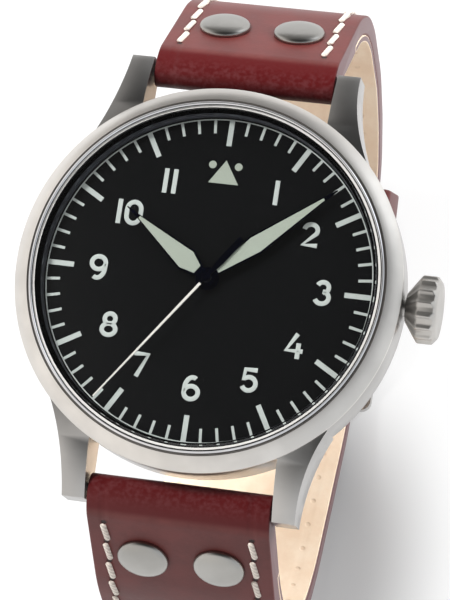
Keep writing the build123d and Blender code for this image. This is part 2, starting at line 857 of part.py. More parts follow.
with BuildPart() as hairspring:
    for half_turn in range(hairspring_half_turns):
        outer_radius = hairspring_start_radius + half_turn * hairspring_step
        shift = hairspring_step if half_turn % 2 else 0
        start_angle = to_balance + half_circle * (half_turn % 2)
        centre = along(balance_axis, to_balance, shift)
        with BuildSketch(Plane.XY.offset(below(hairspring_depth))):
            with BuildLine():
                CenterArc(centre, outer_radius, start_angle, half_circle)
                CenterArc(centre, outer_radius - hairspring_blade, start_angle, half_circle)
                for end_angle in (start_angle, start_angle + half_circle):
                    Line(
                        along(centre, end_angle, outer_radius),
                        along(centre, end_angle, outer_radius - hairspring_blade),
                    )
            make_face()
        extrude(amount=-hairspring_height)
hairspring.part.label = "hairspring"
export_step(hairspring.part, "parts/hairspring.step")

# Barrel, with its arbor under the ratchet wheel, and the winding wheels on the bridge
barrel_arbor_radius = 0.7
barrel_rim = 0.35
barrel_radius = barrel_module * (barrel_teeth / 2 - dedendum_share) - barrel_rim / 2
winding_depth = 5.85
winding_thickness = 0.3
crown_axis_x = 6.4
crown_axis = (crown_axis_x, 0)
crown_wheel_teeth = 40
ratchet_teeth = 50
winding_distance = math.dist(crown_axis, barrel_axis)
winding_module = 2 * winding_distance / (crown_wheel_teeth + ratchet_teeth)
to_ratchet = heading(crown_axis, barrel_axis)
crown_arbor_radius = 0.5
face_wheel_depth = 3.85
face_wheel_thickness = 0.22
face_teeth = 24
face_tooth_height = 0.28
face_tooth_width = 0.2
face_tooth_length = 0.6
face_pitch_radius = 2.45
winding_pinion_teeth = 12
winding_pinion_radius = 1.35
winding_pinion_hub = 1.0
winding_tooth_width = 0.2
winding_pinion_x = 8.4
winding_pinion_length = 1.0
sliding_pinion_x = 6.7
sliding_pinion_length = 1.4
sliding_pinion_radius = 0.85
sliding_groove_width = 0.4
sliding_groove_depth = 0.25
stem_radius = 0.48
stem_bore = stem_radius + running_clearance
stem_start_x = 6.2

with BuildPart() as barrel:
    with BuildSketch(Plane.XY.offset(below(barrel_depth))):
        with Locations(barrel_axis):
            Circle(barrel_radius)
    extrude(amount=-barrel_height)
    with BuildSketch(Plane.XY.offset(below(barrel_teeth_depth))):
        with Locations(barrel_axis):
            Polygon(
                *toothed_outline(barrel_teeth, barrel_module, to_barrel + half_circle),
                align=None,
            )
    extrude(amount=-barrel_teeth_height)
    with BuildSketch(Plane.XY.offset(below(barrel_depth))):
        with Locations(barrel_axis):
            Circle(barrel_arbor_radius + running_clearance)
    extrude(amount=-barrel_height, mode=Mode.SUBTRACT)
barrel.part.label = "barrel"
export_step(barrel.part, "parts/barrel.step")

with BuildPart() as ratchet_wheel:
    with BuildSketch(Plane.XY.offset(below(winding_depth))):
        with Locations(barrel_axis):
            Polygon(
                *toothed_outline(
                    ratchet_teeth,
                    winding_module,
                    gap_towards(to_ratchet + half_circle, ratchet_teeth),
                ),
                align=None,
            )
    extrude(amount=-winding_thickness)
    with BuildSketch(Plane.XY.offset(below(plate_bottom + running_clearance))):
        with Locations(barrel_axis):
            Circle(barrel_arbor_radius)
    extrude(amount=plate_bottom + running_clearance - winding_depth)
ratchet_wheel.part.label = "ratchet_wheel"
export_step(ratchet_wheel.part, "parts/ratchet_wheel.step")

with BuildPart() as crown_wheel:
    with BuildSketch(Plane.XY.offset(below(winding_depth))):
        with Locations(crown_axis):
            Polygon(*toothed_outline(crown_wheel_teeth, winding_module, to_ratchet), align=None)
    extrude(amount=-winding_thickness)
    with BuildSketch(Plane.XY.offset(below(face_wheel_depth))):
        with Locations(crown_axis):
            Circle(face_pitch_radius + face_tooth_length / 2)
    extrude(amount=-face_wheel_thickness)
    with BuildSketch(Plane.XY.offset(below(face_wheel_depth))):
        with Locations(crown_axis):
            Circle(crown_arbor_radius)
    extrude(amount=face_wheel_depth - winding_depth)
    with BuildSketch(Plane.XY.offset(below(face_wheel_depth))):
        with Locations(crown_axis):
            with PolarLocations(face_pitch_radius, face_teeth, start_angle=half_circle / face_teeth):
                Rectangle(face_tooth_length, face_tooth_width)
    extrude(amount=face_tooth_height)
crown_wheel.part.label = "crown_wheel"
export_step(crown_wheel.part, "parts/crown_wheel.step")

with BuildPart() as winding_pinion:
    with BuildSketch(Plane.YZ.offset(winding_pinion_x)):
        with Locations((0, below(crown_depth))):
            Circle(winding_pinion_hub)
            with PolarLocations(
                winding_pinion_radius / 2, winding_pinion_teeth, start_angle=-half_circle / 2
            ):
                Rectangle(winding_pinion_radius, winding_tooth_width)
            Circle(stem_bore, mode=Mode.SUBTRACT)
    extrude(amount=winding_pinion_length)
winding_pinion.part.label = "winding_pinion"
export_step(winding_pinion.part, "parts/winding_pinion.step")

with BuildPart() as sliding_pinion:
    with BuildSketch(Plane.YZ.offset(sliding_pinion_x)):
        with Locations((0, below(crown_depth))):
            Circle(sliding_pinion_radius)
            Circle(stem_bore, mode=Mode.SUBTRACT)
    extrude(amount=sliding_pinion_length)
    with BuildSketch(
        Plane.YZ.offset(sliding_pinion_x + sliding_pinion_length / 2 - sliding_groove_width / 2)
    ):
        with Locations((0, below(crown_depth))):
            Circle(sliding_pinion_radius)
            Circle(sliding_pinion_radius - sliding_groove_depth, mode=Mode.SUBTRACT)
    extrude(amount=sliding_groove_width, mode=Mode.SUBTRACT)
sliding_pinion.part.label = "sliding_pinion"
export_step(sliding_pinion.part, "parts/sliding_pinion.step")

# Crown: an onion that flares from its neck to a fluted drum, bored for the crown tube
crown_gap = 0.2
crown_cone_length = 1.5
crown_drum_length = 1.55
crown_edge_length = 0.5
crown_bore_length = 2.5
crown_neck_radius = 1.7
crown_drum_radius = 3.7
crown_face_radius = 3.15
crown_dome = 0.2
crown_bore_radius = 1.32
flute_count = 18
flute_radius = 0.62
flute_depth = 0.2
tube_inset = 0.05
tube_length_in_crown = 1.1
crown_gasket_radius = 1.3
crown_gasket_length = 0.5
crown_neck_x = case_radius + crown_gap
crown_shoulder_x = crown_neck_x + crown_cone_length
crown_drum_end_x = crown_shoulder_x + crown_drum_length
crown_face_x = crown_drum_end_x + crown_edge_length
crown_bore_end_x = crown_neck_x + crown_bore_length
crown_gasket_x = crown_neck_x + crown_gasket_length
tube_inner_x = case_bore_radius + tube_inset
tube_outer_x = crown_neck_x + tube_length_in_crown
flute_rise = flute_radius - flute_depth
flute_corner = (crown_shoulder_x, crown_drum_radius + flute_rise)
flute_lines = [
    ((crown_neck_x - flute_rise, crown_neck_radius + flute_rise), flute_corner),
    (flute_corner, (crown_face_x, crown_drum_radius + flute_rise)),
]

with BuildPart() as crown:
    with BuildSketch(Plane.XZ):
        with BuildLine():
            Polyline(
                (crown_bore_end_x, below(crown_depth)),
                (crown_bore_end_x, below(crown_depth - crown_bore_radius)),
                (crown_neck_x, below(crown_depth - crown_bore_radius)),
                (crown_neck_x, below(crown_depth - crown_neck_radius)),
                (crown_shoulder_x, below(crown_depth - crown_drum_radius)),
                (crown_drum_end_x, below(crown_depth - crown_drum_radius)),
                (crown_face_x, below(crown_depth - crown_face_radius)),
            )
            crown_apex = (crown_face_x + crown_dome, below(crown_depth))
            Line((crown_face_x, below(crown_depth - crown_face_radius)), crown_apex)
            Line(crown_apex, (crown_bore_end_x, below(crown_depth)))
        make_face()
    revolve(axis=Axis((0, 0, below(crown_depth)), (1, 0, 0)))
    for flute in range(flute_count):
        crown_plane = Plane(origin=(0, 0, below(crown_depth)), x_dir=(1, 0, 0), z_dir=(0, -1, 0))
        around = crown_plane.rotated((full_circle * flute / flute_count, 0, 0))
        for start, end in flute_lines:
            flute_start = around.from_local_coords(start)
            flute_end = around.from_local_coords(end)
            with Locations(Plane(origin=flute_start, z_dir=flute_end - flute_start)):
                Cylinder(
                    flute_radius,
                    math.dist(start, end),
                    align=(Align.CENTER, Align.CENTER, Align.MIN),
                    mode=Mode.SUBTRACT,
                )
crown.part.label = "crown"
export_step(crown.part, "parts/crown.step")

with BuildPart() as crown_gasket:
    with BuildSketch(Plane.YZ.offset(crown_gasket_x)):
        with Locations((0, below(crown_depth))):
            Circle(crown_gasket_radius)
            Circle(tube_radius + running_clearance, mode=Mode.SUBTRACT)
    extrude(amount=crown_gasket_length)
crown_gasket.part.label = "crown_gasket"
export_step(crown_gasket.part, "parts/crown_gasket.step")

with BuildPart() as crown_tube:
    with BuildSketch(Plane.YZ.offset(tube_inner_x)):
        with Locations((0, below(crown_depth))):
            Circle(tube_radius)
            Circle(tube_bore_radius, mode=Mode.SUBTRACT)
    extrude(amount=tube_outer_x - tube_inner_x)
crown_tube.part.label = "crown_tube"
export_step(crown_tube.part, "parts/crown_tube.step")

with BuildPart() as winding_stem:
    with BuildSketch(Plane.YZ.offset(stem_start_x)):
        with Locations((0, below(crown_depth))):
            Circle(stem_radius)
    extrude(amount=crown_bore_end_x - stem_start_x)
winding_stem.part.label = "winding_stem"
export_step(winding_stem.part, "parts/winding_stem.step")

# Main plate, bridges on their pillars, and the ring that holds the movement in the case
holder_wall = 3.6
plate_radius = case_bore_radius - holder_wall
plate_rim_width = 1.2
pivot_hole = pivot_radius + running_clearance
centre_hole_radius = 0.75
winding_pocket_x = 8.0
winding_pocket_length = 3.4
winding_pocket_half_width = 1.5
pillar_radius = 0.9
pillar_inset = 1.5
pillar_orbit = plate_radius - pillar_inset
bridge_inset = 0.2
barrel_bridge_radius = plate_radius - bridge_inset
barrel_bridge_edge_y = 1.3
crown_boss_radius = 1.7
train_boss_radius = 1.15
cock_boss_radius = 1.3
pallet_foot_distance = 3.2
pallet_foot_radius = 0.5
pallet_boss_radius = 0.55
barrel_pillar_angles = (60, 300)
train_pillar_angles = (128, 186)
cock_pillar_angle = 262
barrel_pillars = [on_circle(pillar_orbit, angle) for angle in barrel_pillar_angles]
train_pillars = [on_circle(pillar_orbit, angle) for angle in train_pillar_angles]
cock_pillar = on_circle(pillar_orbit, cock_pillar_angle)
pallet_foot = along(pallet_axis, to_balance + half_circle / 2, pallet_foot_distance)
gear_pivots = [third_axis, escape_axis, pallet_axis, balance_axis]

with BuildPart() as main_plate:
    with BuildSketch(Plane.XY.offset(below(plate_depth))):
        Circle(plate_radius)
    extrude(amount=-plate_thickness)
    with BuildSketch(Plane.XY.offset(below(plate_depth))):
        Circle(plate_radius)
        Circle(plate_radius - plate_rim_width, mode=Mode.SUBTRACT)
    extrude(amount=plate_depth - dial_thickness)
    with BuildSketch(Plane.XY.offset(below(plate_bottom))):
        Circle(centre_hole_radius)
        with Locations((winding_pocket_x, 0)):
            Rectangle(winding_pocket_length, 2 * winding_pocket_half_width)
    extrude(amount=plate_thickness, mode=Mode.SUBTRACT)
    with BuildSketch(Plane.XY.offset(below(plate_bottom))):
        with Locations(*gear_pivots):
            Circle(pivot_hole)
    extrude(amount=pivot_engagement + running_clearance, mode=Mode.SUBTRACT)
    with BuildSketch(Plane.XY.offset(below(plate_depth))):
        with Locations(minute_axis):
            Circle(arbor_radius + running_clearance)
    extrude(amount=-pivot_engagement - running_clearance, mode=Mode.SUBTRACT)
    with BuildSketch(Plane.YZ.offset(winding_pocket_x)):
        with Locations((0, below(crown_depth))):
            Circle(stem_bore)
    extrude(amount=plate_radius - winding_pocket_x + overrun, mode=Mode.SUBTRACT)
    with BuildSketch(Plane.YZ.offset(stem_start_x - running_clearance)):
        with Locations((0, below(crown_depth))):
            Circle(stem_bore)
    extrude(amount=winding_pocket_x - stem_start_x, mode=Mode.SUBTRACT)
main_plate.part.label = "main_plate"
export_step(main_plate.part, "parts/main_plate.step")

with BuildPart() as barrel_bridge:
    with BuildSketch(Plane.XY.offset(below(bridge_depth))):
        with BuildLine():
            bridge_half_chord = math.sqrt(barrel_bridge_radius**2 - barrel_bridge_edge_y**2)
            Line((-bridge_half_chord, barrel_bridge_edge_y), (bridge_half_chord, barrel_bridge_edge_y))
            ThreePointArc(
                (bridge_half_chord, barrel_bridge_edge_y),
                (0, barrel_bridge_radius),
                (-bridge_half_chord, barrel_bridge_edge_y),
            )
        make_face()
        with Locations(crown_axis):
            Circle(crown_boss_radius)
            Circle(crown_arbor_radius + running_clearance, mode=Mode.SUBTRACT)
        with Locations(barrel_axis):
            Circle(barrel_arbor_radius + running_clearance, mode=Mode.SUBTRACT)
    extrude(amount=-bridge_thickness)
    with BuildSketch(Plane.XY.offset(below(plate_bottom))):
        with Locations(*barrel_pillars):
            Circle(pillar_radius)
    extrude(amount=plate_bottom - bridge_depth)
barrel_bridge.part.label = "barrel_bridge"
export_step(barrel_bridge.part, "parts/barrel_bridge.step")

with BuildPart() as train_bridge:
    with BuildSketch(Plane.XY.offset(below(bridge_depth))):
        for boss in (centre_axis, third_axis, escape_axis, *train_pillars):
            with Locations(boss):
                Circle(train_boss_radius)
        make_hull()
        with Locations(centre_axis):
            Circle(seconds_arbor_radius + running_clearance, mode=Mode.SUBTRACT)
        with Locations(third_axis, escape_axis):
            Circle(pivot_hole, mode=Mode.SUBTRACT)
    extrude(amount=-bridge_thickness)
    with BuildSketch(Plane.XY.offset(below(plate_bottom))):
        with Locations(*train_pillars):
            Circle(pillar_radius)
    extrude(amount=plate_bottom - bridge_depth)
train_bridge.part.label = "train_bridge"
export_step(train_bridge.part, "parts/train_bridge.step")

with BuildPart() as balance_cock:
    with BuildSketch(Plane.XY.offset(below(cock_depth))):
        for boss in (balance_axis, cock_pillar):
            with Locations(boss):
                Circle(cock_boss_radius)
        make_hull()
        with Locations(balance_axis):
            Circle(pivot_hole, mode=Mode.SUBTRACT)
    extrude(amount=-cock_thickness)
    with BuildSketch(Plane.XY.offset(below(plate_bottom))):
        with Locations(cock_pillar):
            Circle(pillar_radius)
    extrude(amount=plate_bottom - cock_depth)
balance_cock.part.label = "balance_cock"
export_step(balance_cock.part, "parts/balance_cock.step")

with BuildPart() as pallet_bridge:
    with BuildSketch(Plane.XY.offset(below(pallet_bridge_depth))):
        with Locations(pallet_axis):
            Circle(pallet_boss_radius)
        with Locations(pallet_foot):
            Circle(pallet_foot_radius)
        make_hull()
        with Locations(pallet_axis):
            Circle(pivot_hole, mode=Mode.SUBTRACT)
    extrude(amount=-pallet_bridge_thickness)
    with BuildSketch(Plane.XY.offset(below(plate_bottom))):
        with Locations(pallet_foot):
            Circle(pallet_foot_radius)
    extrude(amount=plate_bottom - pallet_bridge_depth)
pallet_bridge.part.label = "pallet_bridge"
export_step(pallet_bridge.part, "parts/pallet_bridge.step")

holder_depth = 5.6
with BuildPart() as movement_holder:
    with BuildSketch(Plane.XY.offset(below(dial_thickness))):
        Circle(case_bore_radius - running_clearance)
        Circle(plate_radius + running_clearance, mode=Mode.SUBTRACT)
    extrude(amount=dial_thickness - holder_depth)
    with BuildSketch(Plane.YZ.offset(plate_radius - overrun)):
        with Locations((0, below(crown_depth))):
            Circle(tube_radius)
    extrude(amount=case_bore_radius - plate_radius + 2 * overrun, mode=Mode.SUBTRACT)
movement_holder.part.label = "movement_holder"
export_step(movement_holder.part, "parts/movement_holder.step")

# Strap: each half is leather over lining, bent round the spring bar at the case
strap_thickness = 3.0
lining_thickness = 0.8
leather_thickness = strap_thickness - lining_thickness
keeper_thickness = 1.3
keeper_clearance = 0.2
layer_clearance = 0.1
loop_bulge = 13.6
loop_reach = bar_reach + loop_bulge
shoulder_inner_radius = 0.7
upper_shoulder_flat = 0.46
lower_shoulder_flat = 0.1
shoulder_radius = strap_thickness + shoulder_inner_radius
tail_flat_height = keeper_thickness + keeper_clearance
inner_flat_height = tail_flat_height + strap_thickness + layer_clearance
loop_depth = dial_face_height - tail_flat_height
buckle_bar_y = 7.4
tail_end_station = 6.0
rivet_station = 7.8
fold_margin = 3.4
fold_length = rivet_station + fold_margin

# Corners of the outer line as shares of the loop's reach and depth, with bend radii as shares
# of the reach
upper_corner_shares = [
    (1.0, 0.3257, 0.354),
    (0.989, 0.4876, 0.3),
    (0.921, 0.6674, 0.33),
    (0.823, 0.79, 0.3),
    (0.6804, 0.9036, 0.232),
]
lower_corner_shares = [
    (0.883, 0.2863, 0.545),
    (0.9646, 0.4668, 0.381),
    (0.9319, 0.6535, 0.381),
    (0.763, 0.8008, 0.545),
]
upper_flat_shares = (0.4305, 0.545)
lower_flat_shares = (0.15, 0.68)
straight_share = 0.98
bar_height = below(bar_drop)
strap_half_thickness = strap_thickness / 2


def offset_corners(corners, distance):
    """Corners of a line moved sideways, to the right of its direction, with mitred corners."""
    normals = []
    for start, end in zip(corners, corners[1:]):
        length = math.dist(start, end)
        normals.append(((end[1] - start[1]) / length, (start[0] - end[0]) / length))
    moved = []
    for index, corner in enumerate(corners):
        before = normals[max(index - 1, 0)]
        after = normals[min(index, len(normals) - 1)]
        mitre = 1 + before[0] * after[0] + before[1] * after[1]
        moved.append(
            (
                corner[0] + distance * (before[0] + after[0]) / mitre,
                corner[1] + distance * (before[1] + after[1]) / mitre,
            )
        )
    return moved


def inner_radii(radii, depth):
    """Bend radii of a line that lies this deep inside another."""
    return [radius - depth for radius in radii]


def shoulder_corner(flat, bend):
    """Corner where the level stretch over a spring bar and the line to the first bend meet.

    The shoulder's arc starts this flat past the bar and runs straight on to the bend.
    """
    arc_centre = (bar_reach + flat, bar_height + strap_half_thickness - shoulder_radius)
    slant = math.degrees(math.acos(shoulder_radius / math.dist(arc_centre, bend)))
    turn = half_circle / 2 - heading(arc_centre, bend) - slant
    tangent = shoulder_radius * math.tan(math.radians(turn) / 2)
    return (arc_centre[0] + tangent, arc_centre[1] + shoulder_radius)


def fitted_radii(corners, radii, taken):
    """Bend radii, cut back in step where two bends need more than the stretch between them.

    The first stretch has this much of its start taken by the folded end.
    """
    tangents = [0]
    for before, corner, after in zip(corners, corners[1:], corners[2:]):
        turn = abs(heading(corner, after) - heading(before, corner))
        tangents.append(math.tan(math.radians(min(turn, full_circle - turn)) / 2))
    tangents.append(0)
    fitted = [0, *radii, 0]
    for index, (start, end) in enumerate(zip(corners, corners[1:])):
        room = straight_share * (math.dist(start, end) - (0 if index else taken))
        needed = fitted[index] * tangents[index] + fitted[index + 1] * tangents[index + 1]
        if needed > room:
            fitted[index] *= room / needed
            fitted[index + 1] *= room / needed
    return fitted[1:-1]


def strap_corners(side, flat, shares, flat_shares, flat_height, end_y):
    """Outer corners and bend radii of one strap half, from its spring bar to its flat stretch's end."""
    bends = [(reach * loop_reach, below(depth * loop_depth)) for reach, depth, _ in shares]
    bends.append((flat_shares[0] * loop_reach, flat_height))
    line = [
        (bar_reach, bar_height + strap_half_thickness),
        shoulder_corner(flat, bends[0]),
        *bends,
        (side * end_y, flat_height),
    ]
    radii = [share * loop_reach for _, _, share in shares] + [flat_shares[1] * loop_reach]
    corners = [(side * y, z) for y, z in line]
    return corners, [shoulder_radius, *fitted_radii(corners[1:], radii, fold_length + glue_line)]


upper_corners, upper_radii = strap_corners(
    1, upper_shoulder_flat, upper_corner_shares, upper_flat_shares, inner_flat_height, buckle_bar_y
)
lower_corners, lower_radii = strap_corners(
    -1, lower_shoulder_flat, lower_corner_shares, lower_flat_shares, tail_flat_height, buckle_bar_y
)

rivet_pitch_half = 4.2
rivet_head_radius = 2.7
rivet_head_height = 0.65
rivet_head_chamfer = 0.3
rivet_shank_radius = 0.9
rivet_washer_radius = 1.9
rivet_washer_height = 0.35
bar_radius = 0.75
bar_end_clearance = 0.1
bar_half_length = strap_half_width - bar_end_clearance
strap_tunnel_radius = bar_radius + running_clearance
buckle_fold_length = 4.5
tongue_slot_half_width = 1.25
tongue_slot_length = 4.5
tongue_hole_half_width = 1.15
tongue_hole_length = 3.3
tongue_hole_middle_y = buckle_bar_y - tongue_hole_length / 2
tail_corner_radius = 7.0
adjustment_hole_radius = 1.0
adjustment_hole_pitch = 7.0
flat_hole_steps = (-1, 1)
slope_hole_stations = (2.7, 9.7)


def station_on(corners, side, distance, depth):
    """Point on a straight stretch of the strap, this far from its first corner and deep under its face."""
    shoulder, bend = corners
    length = math.dist(shoulder, bend)
    unit = ((bend[0] - shoulder[0]) / length, (bend[1] - shoulder[1]) / length)
    inward = (side * unit[1], -side * unit[0])
    return (
        shoulder[0] + distance * unit[0] + depth * inward[0],
        shoulder[1] + distance * unit[1] + depth * inward[1],
    )


def leather_outline(corners, radii, side):
    """Open outline of the leather layer: outer line, nose round the spring bar, fold, then inner line."""
    full = offset_corners(corners, side * strap_thickness)
    inner = offset_corners(corners, side * leather_thickness)
    fold_end = station_on(corners[1:3], side, fold_length, strap_thickness)
    step_end = station_on(corners[1:3], side, fold_length, leather_thickness)
    with BuildLine() as outline:
        FilletPolyline(*corners, radius=radii)
        ThreePointArc(
            corners[0], (side * (bar_reach - strap_half_thickness), bar_height), full[0]
        )
        FilletPolyline(full[0], full[1], fold_end, radius=shoulder_radius - strap_thickness)
        Line(fold_end, step_end)
        FilletPolyline(step_end, *inner[2:], radius=inner_radii(radii[1:], leather_thickness))
    return outline.line, inner[-1]


def lining_outline(corners, radii, side):
    """Open outline of the lining: from the end of the fold, between the leather and the wrist."""
    outer_depth = leather_thickness + glue_line
    outer = offset_corners(corners, side * outer_depth)
    inner = offset_corners(corners, side * strap_thickness)
    outer_start = station_on(corners[1:3], side, fold_length + glue_line, outer_depth)
    inner_start = station_on(corners[1:3], side, fold_length + glue_line, strap_thickness)
    with BuildLine() as outline:
        FilletPolyline(outer_start, *outer[2:], radius=inner_radii(radii[1:], outer_depth))
        Line(outer_start, inner_start)
        FilletPolyline(inner_start, *inner[2:], radius=inner_radii(radii[1:], strap_thickness))
    return outline.line, outer[-1], inner[-1]


def strap_plane(corners, side, distance):
    """Plane on the strap's outer face, facing out, this far from the first of two corners."""
    surface = station_on(corners, side, distance, 0)
    inside = station_on(corners, side, distance, strap_thickness)
    return Plane(
        origin=(0, *surface), x_dir=(1, 0, 0), z_dir=(0, surface[0] - inside[0], surface[1] - inside[1])
    )


# The 6 o'clock half runs on through the buckle, outside the 12 o'clock half, into the free keeper
outer_layer = strap_thickness + layer_clearance
tail_line = offset_corners(upper_corners, -outer_layer)
tail_bend, next_bend = tail_line[-2], tail_line[-3]
tail_share = tail_end_station / math.dist(tail_bend, next_bend)
tail_end = (
    tail_bend[0] + tail_share * (next_bend[0] - tail_bend[0]),
    tail_bend[1] + tail_share * (next_bend[1] - tail_bend[1]),
)
lower_flat_corner = lower_corners[-2]
before_flat_corner = lower_corners[-3]
lower_corners[-1:] = [tail_bend, tail_end]
lower_radii.append(upper_radii[-1] + outer_layer)
rivet_spots = [(-rivet_pitch_half, 0), (rivet_pitch_half, 0)]
upper_rivet_plane = strap_plane(upper_corners[1:3], 1, rivet_station)
lower_rivet_plane = strap_plane(lower_corners[1:3], -1, rivet_station)

fold_end_y = buckle_bar_y + buckle_fold_length
folded_corners = upper_corners[:-1] + [(fold_end_y, inner_flat_height)]
lining_corners = upper_corners[:-1] + [(fold_end_y + glue_line, inner_flat_height)]
upper_line, upper_inner_end = leather_outline(folded_corners, upper_radii, 1)
buckle_bar_height = inner_flat_height + strap_half_thickness
with BuildPart() as strap_upper_leather:
    with BuildSketch(Plane.YZ):
        with BuildLine():
            add(upper_line)
            Polyline(
                upper_inner_end,
                (fold_end_y, inner_flat_height + strap_thickness),
                (buckle_bar_y, inner_flat_height + strap_thickness),
            )
            ThreePointArc(
                (buckle_bar_y, inner_flat_height + strap_thickness),
                (buckle_bar_y - strap_half_thickness, buckle_bar_height),
                (buckle_bar_y, inner_flat_height),
            )
            Line((buckle_bar_y, inner_flat_height), (fold_end_y, inner_flat_height))
        make_face()
    extrude(amount=strap_half_width, both=True)
    with BuildSketch(Plane.YZ):
        with Locations((bar_reach, bar_height), (buckle_bar_y, buckle_bar_height)):
            Circle(strap_tunnel_radius)
    extrude(amount=strap_half_width, both=True, mode=Mode.SUBTRACT)
    with BuildSketch(Plane.XY.offset(inner_flat_height)):
        with Locations((0, buckle_bar_y + tongue_slot_length / 2 - strap_half_thickness)):
            Rectangle(2 * tongue_slot_half_width, tongue_slot_length)
    extrude(amount=strap_thickness, mode=Mode.SUBTRACT)
    with BuildSketch(upper_rivet_plane):
        with Locations(*rivet_spots):
            Circle(rivet_shank_radius + running_clearance)
    extrude(amount=-strap_thickness, mode=Mode.SUBTRACT)
strap_upper_leather.part.label = "strap_upper_leather"
export_step(strap_upper_leather.part, "parts/strap_upper_leather.step")

upper_lining_line, upper_lining_outer, upper_lining_inner = lining_outline(lining_corners, upper_radii, 1)
with BuildPart() as strap_upper_lining:
    with BuildSketch(Plane.YZ):
        with BuildLine():
            add(upper_lining_line)
            Line(upper_lining_outer, upper_lining_inner)
        make_face()
    extrude(amount=strap_half_width, both=True)
strap_upper_lining.part.label = "strap_upper_lining"
export_step(strap_upper_lining.part, "parts/strap_upper_lining.step")

lower_line, lower_inner_end = leather_outline(lower_corners, lower_radii, -1)
tail_end_middle = ((tail_end[0] + lower_inner_end[0]) / 2, (tail_end[1] + lower_inner_end[1]) / 2)
tongue_hole = (0, tongue_hole_middle_y)
hole_planes = [
    Plane((0, tongue_hole_middle_y + adjustment_hole_pitch * step, 0)) for step in flat_hole_steps
]
hole_planes += [
    strap_plane((lower_flat_corner, before_flat_corner), 1, station) for station in slope_hole_stations
]
with BuildPart() as strap_lower_leather:
    with BuildSketch(Plane.YZ):
        with BuildLine():
            add(lower_line)
            Line(tail_end, lower_inner_end)
        make_face()
    extrude(amount=strap_half_width, both=True)
    for side in (-1, 1):
        end_point = (side * strap_half_width, *tail_end_middle)
        fillet(strap_lower_leather.edges().sort_by_distance(end_point)[0], tail_corner_radius)
    with BuildSketch(Plane.YZ):
        with Locations((-bar_reach, bar_height)):
            Circle(strap_tunnel_radius)
    extrude(amount=strap_half_width, both=True, mode=Mode.SUBTRACT)
    with BuildSketch(Plane.XY):
        with Locations(tongue_hole):
            Rectangle(2 * tongue_hole_half_width, tongue_hole_length)
    extrude(amount=inner_flat_height, mode=Mode.SUBTRACT)
    for plane in hole_planes:
        with BuildSketch(plane):
            Circle(adjustment_hole_radius)
        extrude(amount=inner_flat_height, both=True, mode=Mode.SUBTRACT)
    with BuildSketch(lower_rivet_plane):
        with Locations(*rivet_spots):
            Circle(rivet_shank_radius + running_clearance)
    extrude(amount=-strap_thickness, mode=Mode.SUBTRACT)
strap_lower_leather.part.label = "strap_lower_leather"
export_step(strap_lower_leather.part, "parts/strap_lower_leather.step")

lower_lining_line, lower_lining_outer, lower_lining_inner = lining_outline(lower_corners, lower_radii, -1)
lining_end_middle = (
    (lower_lining_outer[0] + lower_lining_inner[0]) / 2,
    (lower_lining_outer[1] + lower_lining_inner[1]) / 2,
)
with BuildPart() as strap_lower_lining:
    with BuildSketch(Plane.YZ):
        with BuildLine():
            add(lower_lining_line)
            Line(lower_lining_outer, lower_lining_inner)
        make_face()
    extrude(amount=strap_half_width, both=True)
    for side in (-1, 1):
        end_point = (side * strap_half_width, *lining_end_middle)
        fillet(strap_lower_lining.edges().sort_by_distance(end_point)[0], tail_corner_radius)
    with BuildSketch(Plane.XY):
        with Locations(tongue_hole):
            Rectangle(2 * tongue_hole_half_width, tongue_hole_length)
    extrude(amount=inner_flat_height, mode=Mode.SUBTRACT)
    for plane in hole_planes:
        with BuildSketch(plane):
            Circle(adjustment_hole_radius)
        extrude(amount=inner_flat_height, both=True, mode=Mode.SUBTRACT)
strap_lower_lining.part.label = "strap_lower_lining"
export_step(strap_lower_lining.part, "parts/strap_lower_lining.step")

# Rivets through the folded ends
with BuildPart() as rivets:
    for plane in (upper_rivet_plane, lower_rivet_plane):
        with BuildSketch(plane):
            with Locations(*rivet_spots):
                Circle(rivet_head_radius)
        extrude(amount=rivet_head_height)
        chamfer(rivets.edges().group_by(Axis(plane.origin, plane.z_dir))[-1], rivet_head_chamfer)
        with BuildSketch(plane):
            with Locations(*rivet_spots):
                Circle(rivet_shank_radius)
        extrude(amount=-strap_thickness)
        with BuildSketch(plane.offset(-strap_thickness)):
            with Locations(*rivet_spots):
                Circle(rivet_washer_radius)
        extrude(amount=-rivet_washer_height)
rivets.part.label = "rivets"
export_step(rivets.part, "parts/rivets.step")

with BuildPart() as spring_bars:
    with BuildSketch(Plane.YZ):
        with Locations((-bar_reach, bar_height), (bar_reach, bar_height)):
            Circle(bar_radius)
    extrude(amount=bar_half_length, both=True)
    with BuildSketch(Plane.YZ):
        with Locations((-bar_reach, bar_height), (bar_reach, bar_height)):
            Circle(bar_pivot_radius)
    extrude(amount=lug_gap_half + bar_hole_depth - running_clearance, both=True)
spring_bars.part.label = "spring_bars"
export_step(spring_bars.part, "parts/spring_bars.step")

# Buckle: frame, bar, tongue, and the two keepers
buckle_side_clearance = 0.3
buckle_arm_width = 1.6
buckle_length = 11.2
buckle_rail_width = 2.0
buckle_rail_height = 1.3
buckle_arm_overhang = 1.5
buckle_arm_thickness = 1.9
buckle_inner_half = strap_half_width + buckle_side_clearance
buckle_outer_half = buckle_inner_half + buckle_arm_width
buckle_rail_start_y = buckle_bar_y - buckle_length
buckle_rail_end_y = buckle_rail_start_y + buckle_rail_width
buckle_arm_end_y = buckle_bar_y + buckle_arm_overhang
buckle_corner_radius = 1.2
tongue_notch_depth = 0.72
tongue_thickness = 0.6
tongue_half_width = 1.0
tongue_tip_inset = 0.2
tongue_drop = 2.7
tongue_tip_y = buckle_rail_start_y + tongue_tip_inset
tongue_drop_y = buckle_bar_y - tongue_drop
tongue_ring_radius = 1.35
tongue_hang = 1.05
buckle_pin_radius = 0.75
keeper_width = 5.0
keeper_corner_radius = 1.2
keeper_side_clearance = 0.6
keeper_gap = 0.4
free_keeper_station = 4.05
fixed_keeper_y = buckle_arm_end_y + keeper_gap + keeper_width / 2

